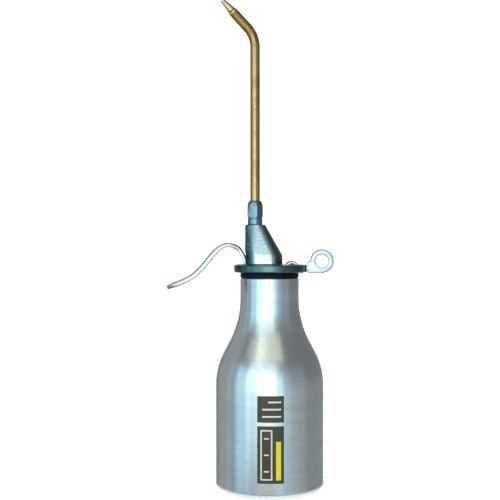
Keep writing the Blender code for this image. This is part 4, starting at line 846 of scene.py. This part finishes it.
# Places along its middle line, as shares of its reach and its rise
LEVER_PATH = (
    (0.070, 0.082), (0.150, 0.082), (0.222, 0.082), (0.290, 0.083), (0.3215, 0.092),
    (0.3405, 0.128), (0.3560, 0.265), (0.3705, 0.510), (0.3920, 0.715), (0.4160, 0.856),
    (0.4400, 0.926), (0.4660, 0.975), (0.5000, 0.998), (0.5350, 0.990), (0.5720, 0.915),
    (0.6080, 0.785), (0.6560, 0.545), (0.7040, 0.240), (0.7520, -0.022), (0.8000, -0.240),
    (0.8480, -0.375), (0.8960, -0.482), (0.9440, -0.580), (1.0000, -0.705),
)
# How deep its edges turn down and how wide it grows, by share of the reach
FLANGE_DEPTH = (
    (0.0, 0.0), (0.34, 0.0), (0.375, 0.75), (0.44, 0.75), (0.5, 0.5), (0.56, 0.75), (0.64, 1.0),
    (0.92, 1.0), (1.0, 0.55),
)
WIDTH = ((0.0, 0.0), (0.38, 0.0), (0.5, 0.45), (0.7, 0.75), (0.88, 1.0), (1.0, 1.0))


def along(table, share):
    """A table's value at a share of the reach, eased from row to row."""
    for (start, low), (end, high) in zip(table, table[1:]):
        if share <= end:
            ease = (share - start) / (end - start)
            return low + (high - low) * ease * ease * (3 - 2 * ease)
    return table[-1][1]


def even_line(points, count):
    """Points spread evenly by length along a smooth curve through the given ones."""
    ends = [points[0] * 2 - points[1], *points, points[-1] * 2 - points[-2]]
    fine = []
    for before, start, end, after in zip(ends, ends[1:], ends[2:], ends[3:]):
        for index in range(12):
            part = index / 12
            fine.append((
                start * 2 + (end - before) * part
                + (before * 2 - start * 5 + end * 4 - after) * part ** 2
                + (start * 3 - before - end * 3 + after) * part ** 3
            ) / 2)
    fine.append(points[-1])
    lengths = [0.0]
    for first, second in zip(fine, fine[1:]):
        lengths.append(lengths[-1] + (second - first).length)
    line, place = [], 0
    for index in range(count):
        wanted = lengths[-1] * index / (count - 1)
        while place < len(fine) - 2 and lengths[place + 1] < wanted:
            place += 1
        share = (wanted - lengths[place]) / (lengths[place + 1] - lengths[place])
        line.append(fine[place].lerp(fine[place + 1], share))
    return line, lengths[-1]


def channel(width, flange):
    """Points (across, down) round the strip's section: a flat web with turned-down edges."""
    lip, clear = 0.35 * MM, 0.15 * MM
    half = width / 2
    bend = (0.6 + 0.9 * flange) * MM
    depth = LEVER_STEEL + (0.2 + 1.5 * flange) * MM
    inner = half - min(LEVER_STEEL, half / 2)
    crease = 0.3 * MM * (1 + flange)
    side = [(half - lip, depth), (half - 0.1 * MM, depth - 0.1 * MM), (half, depth - lip)]
    side += arc((half - bend, bend), bend, 0.0, 90.0, 8, -bend)
    under = arc((inner - crease, LEVER_STEEL + crease), crease, -90.0, 0.0, 4)
    under += [(inner, depth - clear), (min(inner + clear, half - lip - 0.01 * MM), depth)]
    far_side, far_under = ([(-across, down) for across, down in line[::-1]] for line in (side, under))
    return side + far_side + far_under + under


def make_strip():
    """The lever's pressed strip, section by section along its middle line."""
    places = [Vector((-reach * LEVER_REACH, 0.0, rise * LEVER_RISE)) for reach, rise in LEVER_PATH]
    line, length = even_line(places, 110)
    count = len(line) - 1
    bm = bmesh.new()
    rows = []
    for station, place in enumerate(line):
        heading = (line[min(station + 1, count)] - line[max(station - 1, 0)]).normalized()
        outward = Vector((heading.z, 0.0, -heading.x))
        share = -place.x / LEVER_REACH
        width = (9.3 + 4.3 * along(WIDTH, share)) * MM
        to_tip = (1 - station / count) * length / (7.0 * MM)
        if to_tip < 1:
            width *= 0.25 + 0.75 * math.sqrt(1 - (1 - to_tip) ** 2)
        rows.append([
            bm.verts.new(PIVOT + place - outward * down + Vector((0.0, across, 0.0)))
            for across, down in channel(width, along(FLANGE_DEPTH, share))
        ])
    for low, high in zip(rows, rows[1:]):
        for first in range(len(low)):
            second = (first + 1) % len(low)
            bm.faces.new((low[first], low[second], high[second], high[first]))
    bm.faces.new(rows[0])
    bm.faces.new(rows[-1])
    bmesh.ops.recalc_face_normals(bm, faces=bm.faces)
    deselect()
    bpy.ops.mesh.primitive_plane_add(size=MM)
    obj = new_piece("dressed_lever")
    bm.to_mesh(obj.data)
    bm.free()
    return obj


def make_lever():
    """The strip with its two ears round the pin."""
    lever = make_strip()
    web_top = LEVER_RISE * LEVER_PATH[0][1]
    rise = math.degrees(math.asin(web_top / EAR_RADIUS))
    ear_foot, ear_end = in_mm(2.3, -9.5)
    ear_top = web_top - LEVER_STEEL * 0.3
    outline = arc((0.0, 0.0), EAR_RADIUS, 180.0 - rise, 0.0, 32)
    outline += arc((0.0, 0.0), EAR_RADIUS, 0.0, -90.0, 12, ear_foot)[1:]
    outline += [
        (-EAR_RADIUS, -ear_foot), (ear_end, web_top - LEVER_STEEL * 0.6), (ear_end, ear_top),
        (-EAR_RADIUS, ear_top),
    ]
    for low, high in in_mm((-4.55, -3.05), (3.05, 4.55)):
        ear = slab("ear", about_pivot(outline), low, high)
        bevel(ear, 0.55 * MM, 4)
        add(lever, ear)
    cut(lever, cross_drum("ear_holes", 1.7 * MM, -9.0 * MM, 9.0 * MM, PIVOT.x, PIVOT.z, 32))
    for low, high in in_mm((-5.5, -4.15), (4.15, 5.5)):
        cut(lever, cross_drum("ear_dish", 3.2 * MM, low, high, PIVOT.x, PIVOT.z, 64))
    shade(lever)
    dress(lever, LEVER_PLATE, "zinc_plate", "lever", "lever")


def make_pin():
    pin = cross_drum("dressed_lever_pin", 1.4 * MM, PIN_LOW.y, PIN_HIGH.y, PIVOT.x, PIVOT.z, 48)
    bevel(pin, 0.3 * MM, 3)
    shade(pin)
    dress(pin, PIN_STEEL, "pin_steel", "head", "lever_pin")


# Spout

BEND = math.radians(42.3)
BEND_RADIUS = 18.3 * MM
BEND_START = NIPPLE_HIGH.z + 96.8 * MM
TUBE_END = 12.2 * MM


def make_nipple():
    """A hexagon with a domed shoulder, on a round collar and a threaded foot."""
    top = NIPPLE_HIGH.z
    collar_foot, thread_foot, bore_floor = top - 14.8 * MM, NIPPLE_LOW.z, top - 8.5 * MM
    collar, flats = collar_foot + 3.6 * MM, collar_foot + 4.3 * MM
    recess, neck, outer, body, thread, passage = in_mm(3.2, 4.45, 4.7, 5.05, 3.6, 1.5)
    small, lap = in_mm(0.3, 0.2)
    profile = [(recess, top), *arc((3.3 * MM, top - 5.4 * MM), 1.75 * MM, 90.0, 0.0, 16, 5.4 * MM)]
    profile += [(body, flats + small), (outer, flats), (neck, flats)]
    profile += [(neck, flats - lap), (recess, flats - lap), (recess, top)]
    nut = spun("dressed_spout_nipple", profile, SPOUT_X, 96)
    hexagon = drum("flats", 8.9 * MM / math.sqrt(3), flats - 3.0 * MM, top + MM, SPOUT_X, 6, 15.0)
    boolean(nut, hexagon, "INTERSECT")
    foot = [
        (recess, flats + lap / 2), (neck, flats + lap / 2), (neck, collar), (outer - small, collar),
        (outer, collar - small), (outer, collar_foot), (outer - lap, collar_foot - lap),
        (thread, collar_foot - lap), (thread, thread_foot), (passage, thread_foot),
        (passage, bore_floor), (recess, bore_floor), (recess, flats + lap / 2),
    ]
    add(nut, spun("foot", foot, SPOUT_X, 96))
    bevel(nut, 0.12 * MM, 2, 28.0)
    shade(nut, 30.0)
    dress(nut, NICKEL, "nickel_plate", "spout", "spout_nipple")


def make_tube():
    bottom = NIPPLE_HIGH.z - 8.25 * MM
    deselect()
    bpy.ops.mesh.primitive_circle_add(vertices=48, radius=3.05 * MM, location=(SPOUT_X, 0.0, bottom))
    obj = new_piece("dressed_spout_tube")
    into_edit(obj)
    rings = 12
    for _ in range(rings):
        draw_out((0.0, 0.0, (BEND_START - bottom) / rings))
    bpy.ops.mesh.spin(
        steps=20, angle=BEND, center=(SPOUT_X - BEND_RADIUS, 0.0, BEND_START), axis=(0.0, 1.0, 0.0)
    )
    run = TUBE_END - 0.25 * MM
    draw_out((-math.sin(BEND) * run, 0.0, math.cos(BEND) * run))
    merge_doubles()
    face_outward()
    settle(obj)
    finish_with(obj, "SOLIDIFY", thickness=0.75 * MM, offset=-1.0)
    bevel(obj, 0.12 * MM, 2, 60.0)
    shade(obj)
    dress(obj, TUBE_BRASS, "brass", "spout", "spout_tube")


def onto_tube_end(obj):
    """Tilt a piece turned about the origin and set it on the bent tube's end."""
    across, up = math.sin(BEND), math.cos(BEND)
    end = Vector((SPOUT_X - BEND_RADIUS * (1 - up), 0.0, BEND_START + BEND_RADIUS * across))
    end += Vector((-across, 0.0, up)) * TUBE_END
    into_edit(obj)
    pick_all()
    bpy.ops.transform.rotate(value=BEND, orient_axis="Y", center_override=(0.0, 0.0, 0.0))
    bpy.ops.transform.translate(value=end)
    out_of_edit()
    shade(obj, 35.0)


def make_nozzle():
    """A pale cone with its spigot, and the brass ferrule that holds it on the tube."""
    cone = in_mm(
        (0.7, 11.4), (0.85, 11.6), (1.2, 11.6), (1.35, 11.45), (2.5, 3.0), (2.45, 2.6), (1.98, 2.4),
        (1.98, -5.0), (0.7, -5.0), (0.7, 11.4),
    )
    nozzle = spun("dressed_nozzle_tip", cone, 0.0, 64)
    onto_tube_end(nozzle)
    ferrule = [*in_mm((2.0, 2.35), (2.5, 2.4), (2.72, 2.1))]
    ferrule += arc(in_mm(2.6, 1.0), 0.55 * MM, 60.0, 0.0, 7)
    ferrule += in_mm((3.15, 0.3), (2.95, 0.05), (2.0, 0.05), (2.0, 2.35))
    ring = spun("nozzle_ferrule", ferrule, 0.0, 64)
    onto_tube_end(ring)
    dress(ring, PLAIN_BRASS, "pale_brass", "spout")
    dress(nozzle, PALE_BRASS, "pale_brass", "spout", "nozzle_tip")


# Label panels: plain print, no lettering

def rectangle(tree, across, up, box):
    """A mask that is one inside a box of (left, low, right, high) and zero outside."""
    soft = 0.06 * MM
    left, low, right, high = box
    nearest = maths(tree, "SUBTRACT", across, left)
    for more, less in ((right, across), (up, low), (high, up)):
        nearest = maths(tree, "MINIMUM", nearest, maths(tree, "SUBTRACT", more, less))
    return maths(tree, "MULTIPLY_ADD", nearest, 1.0 / soft, 0.5, clamp=True)


def make_print(name, frames, bars, strips):
    """Dark print with pale frames and rules, and plain yellow strips."""
    pale, yellow = (0.88, 0.87, 0.80), (1.0, 0.80, 0.01)
    material, tree, shader = new_material(name)
    place = object_place(tree)
    across, up = place["X"], place["Z"]
    marks = use(tree, HANDLING, Size=130.0, Amount=0.5)
    tone = mix(tree, marks, (0.046, 0.038, 0.012), (0.060, 0.052, 0.028))
    tone = layer(tree, tone, *[(rectangle(tree, across, up, box), yellow) for box in strips])
    tone = layer(tree, tone, *[(rectangle(tree, across, up, box), pale) for box in bars])
    rule = 0.8 * MM
    for box in frames:
        inner = (box[0] + rule, box[1] + rule, box[2] - rule, box[3] - rule)
        whole, blank = (rectangle(tree, across, up, field) for field in (box, inner))
        tone = layer(tree, tone, (maths(tree, "SUBTRACT", whole, blank), pale))
    rough = scaled(tree, marks, 0.2, 0.36)
    surface(tree, shader, tone, rough, noise(tree, 1800.0), 0.004 * MM, 0.5)
    return material


def make_label(name, low, high, material):
    """A thin printed film on the flask: part of a cylinder, cut to its width."""
    deselect()
    bpy.ops.mesh.primitive_cylinder_add(
        vertices=360, radius=FLASK_RADIUS + 0.03 * MM, depth=high - low,
        end_fill_type="NOTHING", location=(0.0, 0.0, (low + high) / 2),
    )
    obj = settle(new_piece(name))
    into_edit(obj)
    left, right = in_mm(-8.0, 7.95)
    saw((left, 0.0, 0.0), (-1.0, 0.0, 0.0), fill=False)
    saw((right, 0.0, 0.0), (1.0, 0.0, 0.0), fill=False)
    saw((0.0, 0.0, 0.0), (0.0, 1.0, 0.0), fill=False)
    out_of_edit()
    finish_with(obj, "SOLIDIFY", thickness=0.08 * MM, offset=1.0)
    shade(obj)
    dress(obj, material, "spun_aluminium", "flask")


def make_labels():
    """Two dark printed panels: rules on the upper one, a framed field and a strip on the lower one."""
    rules = in_mm((-1.5, 59.0, 6.3, 60.0), (-5.0, 54.7, 6.3, 55.7), (-5.0, 50.4, 6.3, 51.4))
    upper = make_print("upper print", (), rules, ())
    rules = in_mm((-4.0, 17.8, -1.1, 18.6), (-4.0, 27.6, -1.1, 28.4), (-4.0, 37.4, -1.1, 38.2))
    lower = make_print("lower print", in_mm((-6.1, 13.0, 1.0, 43.0)), rules, in_mm((3.2, 13.0, 6.2, 36.0)))
    make_label("label_upper", 47.4 * MM, 63.2 * MM, upper)
    make_label("label_lower", 11.0 * MM, 45.2 * MM, lower)


# Springs

def make_spring(name, wire_radius, coil, turns, x):
    """A wound spring in the place of its solid."""
    low, high = (corner.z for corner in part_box(name))
    pitch = (high - low - 2 * wire_radius) / turns
    obj = small_ring("dressed_" + name, 8, wire_radius, coil, low + wire_radius)
    finish_with(obj, "SCREW", axis="Z", screw_offset=pitch, iterations=turns, steps=32, render_steps=32)
    into_edit(obj)
    pick_all()
    bpy.ops.transform.translate(value=(x, 0.0, 0.0))
    close_coil(obj, 8)
    dress(obj, SPRING_STEEL, "spring_steel", None)
    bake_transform(obj)
    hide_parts(name)


# Inner pieces keep their solids and get their finish

def finish_inner_pieces():
    for material, names in (
        (ZINC_PLATE, ("plunger",)), (LEATHER, ("piston_cup",)), (HOSE_PLASTIC, ("dip_hose",)),
        (PLAIN_BRASS, ("gland_nut", "pump_barrel", "piston", "ball_retainer", "foot_valve", "strainer")),
        (FIBRE, ("gland_packing", "barrel_seal", "nipple_washer")),
        (SPRING_STEEL, ("foot_ball", "delivery_ball")),
    ):
        for name in names:
            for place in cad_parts[name].material_slots:
                place.material = material


make_flask()
make_gasket()
make_pump_head()
make_plug_thread()
make_eye()
make_lever()
make_pin()
make_nipple()
make_tube()
make_nozzle()
make_labels()
make_spring("return_spring", 0.5 * MM, 4.6 * MM, 6, PUMP_X)
make_spring("delivery_spring", 0.225 * MM, 2.1 * MM, 4, SPOUT_X)
finish_inner_pieces()


# Table and wall

def make_paper(name, glow):
    """White paper that also shows white to the camera and in reflections."""
    material, tree, shader = new_material(name)
    tone = mix(tree, noise(tree, 900.0), (0.80, 0.80, 0.80), (0.84, 0.84, 0.84))
    wire(tree, tone, shader["Base Color"])
    shader["Roughness"].default_value = 0.9
    shader["Specular IOR Level"].default_value = 0.0
    ray = put(tree, "ShaderNodeLightPath").outputs
    seen = maths(tree, "ADD", ray["Is Camera Ray"], ray["Is Glossy Ray"], clamp=True)
    seen = maths(tree, "ADD", seen, ray["Is Transmission Ray"], clamp=True)
    shader["Emission Color"].default_value = (1.0, 1.0, 1.0, 1.0)
    wire(tree, scaled(tree, seen, glow), shader["Emission Strength"])
    return material


def make_stage():
    """A small round table before a wall."""
    deselect()
    bpy.ops.mesh.primitive_circle_add(vertices=128, radius=39.0 * MM, fill_type="NGON")
    floor = new_piece("floor")
    floor.data.materials.append(make_paper("floor paper", 0.74))
    deselect()
    bpy.ops.mesh.primitive_plane_add(
        size=1.0, location=(-0.012, 1.6, -0.225), rotation=(math.pi / 2, 0.0, 0.0)
    )
    bpy.context.active_object.scale = (1.24, 1.95, 1.0)
    wall = settle(new_piece("backdrop"))
    wall.data.materials.append(make_paper("backdrop paper", 0.98))


# Lamps

# Angles that each spans right of the camera and above level, then distance, radiance and colour
LAMPS = (
    ("front lamp", (-19, 9), (-12, 14), 1.35, 1.3, (1, 1, 1)),
    ("front halo", (-26, 13), (-18, 20), 1.4, 0.95, (0.9, 1, 1)),
    ("near left lamp", (-50, -20), (-17, 20), 1.45, 1.35, (0.72, 0.93, 1)),
    ("far left lamp", (-76, -44), (-22, 22), 1.5, 0.85, (0.45, 0.84, 1)),
    ("left fringe", (-100, -60), (-26, 24), 1.55, 0.2, (0.5, 0.9, 1)),
    ("right lamp", (9, 27), (-20, 18), 1.45, 0.95, (0.6, 0.9, 1)),
    ("far right lamp", (20, 44), (-26, 20), 1.5, 0.36, (0.5, 0.88, 1)),
    ("right fringe", (40, 80), (-34, 22), 1.55, 0.14, (0.65, 0.95, 1)),
    ("low right lamp", (14, 60), (-34, -8), 1.6, 0.18, (0.9, 1, 1)),
    ("low side lamp", (60, 150), (-36, -4), 1.6, 0.1, (1, 1, 1)),
    ("upper lamp", (-44, 14), (18, 38), 1.5, 1, (0.72, 0.93, 1)),
    ("high lamp", (-30, 26), (40, 62), 1.5, 0.8, (1, 0.99, 0.68)),
    ("high left lamp", (-64, -24), (38, 60), 1.5, 0.48, (1, 1, 0.88)),
    ("side lamp", (-140, -90), (-30, 45), 1.6, 0.17, (0.9, 1, 1)),
)


def make_lamps():
    """Soft panels that face the pump head."""
    target = Vector((0.0, 0.0, 0.12))
    for name, azimuths, elevations, distance, radiance, colour in LAMPS:
        turn = math.radians(sum(azimuths) / 2)
        lift = math.radians(sum(elevations) / 2)
        level = math.cos(lift)
        place = target + distance * Vector((math.sin(turn) * level, -math.cos(turn) * level, math.sin(lift)))
        data = bpy.data.lights.new(name, "AREA")
        data.shape = "RECTANGLE"
        data.size = 2 * distance * math.tan(math.radians(azimuths[1] - azimuths[0]) / 2)
        data.size_y = 2 * distance * math.tan(math.radians(elevations[1] - elevations[0]) / 2)
        data.energy = radiance * math.pi * data.size * data.size_y
        data.color = colour
        lamp = bpy.data.objects.new(name, data)
        lamp.location = place
        lamp.rotation_euler = (target - place).to_track_quat("-Z", "Y").to_euler()
        scene.collection.objects.link(lamp)


def make_world():
    """A plain grey room."""
    world = scene.world or bpy.data.worlds.new("studio")
    scene.world = world
    world.use_nodes = True
    room = world.node_tree.nodes["Background"]
    room.inputs["Color"].default_value = (0.225, 0.235, 0.24, 1.0)
    room.inputs["Strength"].default_value = 1.0


def make_camera():
    sensor, distance, width = 36.0, 0.6, 0.3155
    data = bpy.data.cameras.new("camera")
    data.sensor_width = sensor
    data.lens = sensor * distance / width
    data.shift_y = -0.02
    camera = bpy.data.objects.new("camera", data)
    camera.location = (-0.0123, -distance, 0.1562)
    camera.rotation_euler = (math.pi / 2, 0.0, 0.0)
    scene.collection.objects.link(camera)
    scene.camera = camera


make_stage()
make_lamps()
make_world()
make_camera()
scene.view_settings.view_transform = "Standard"
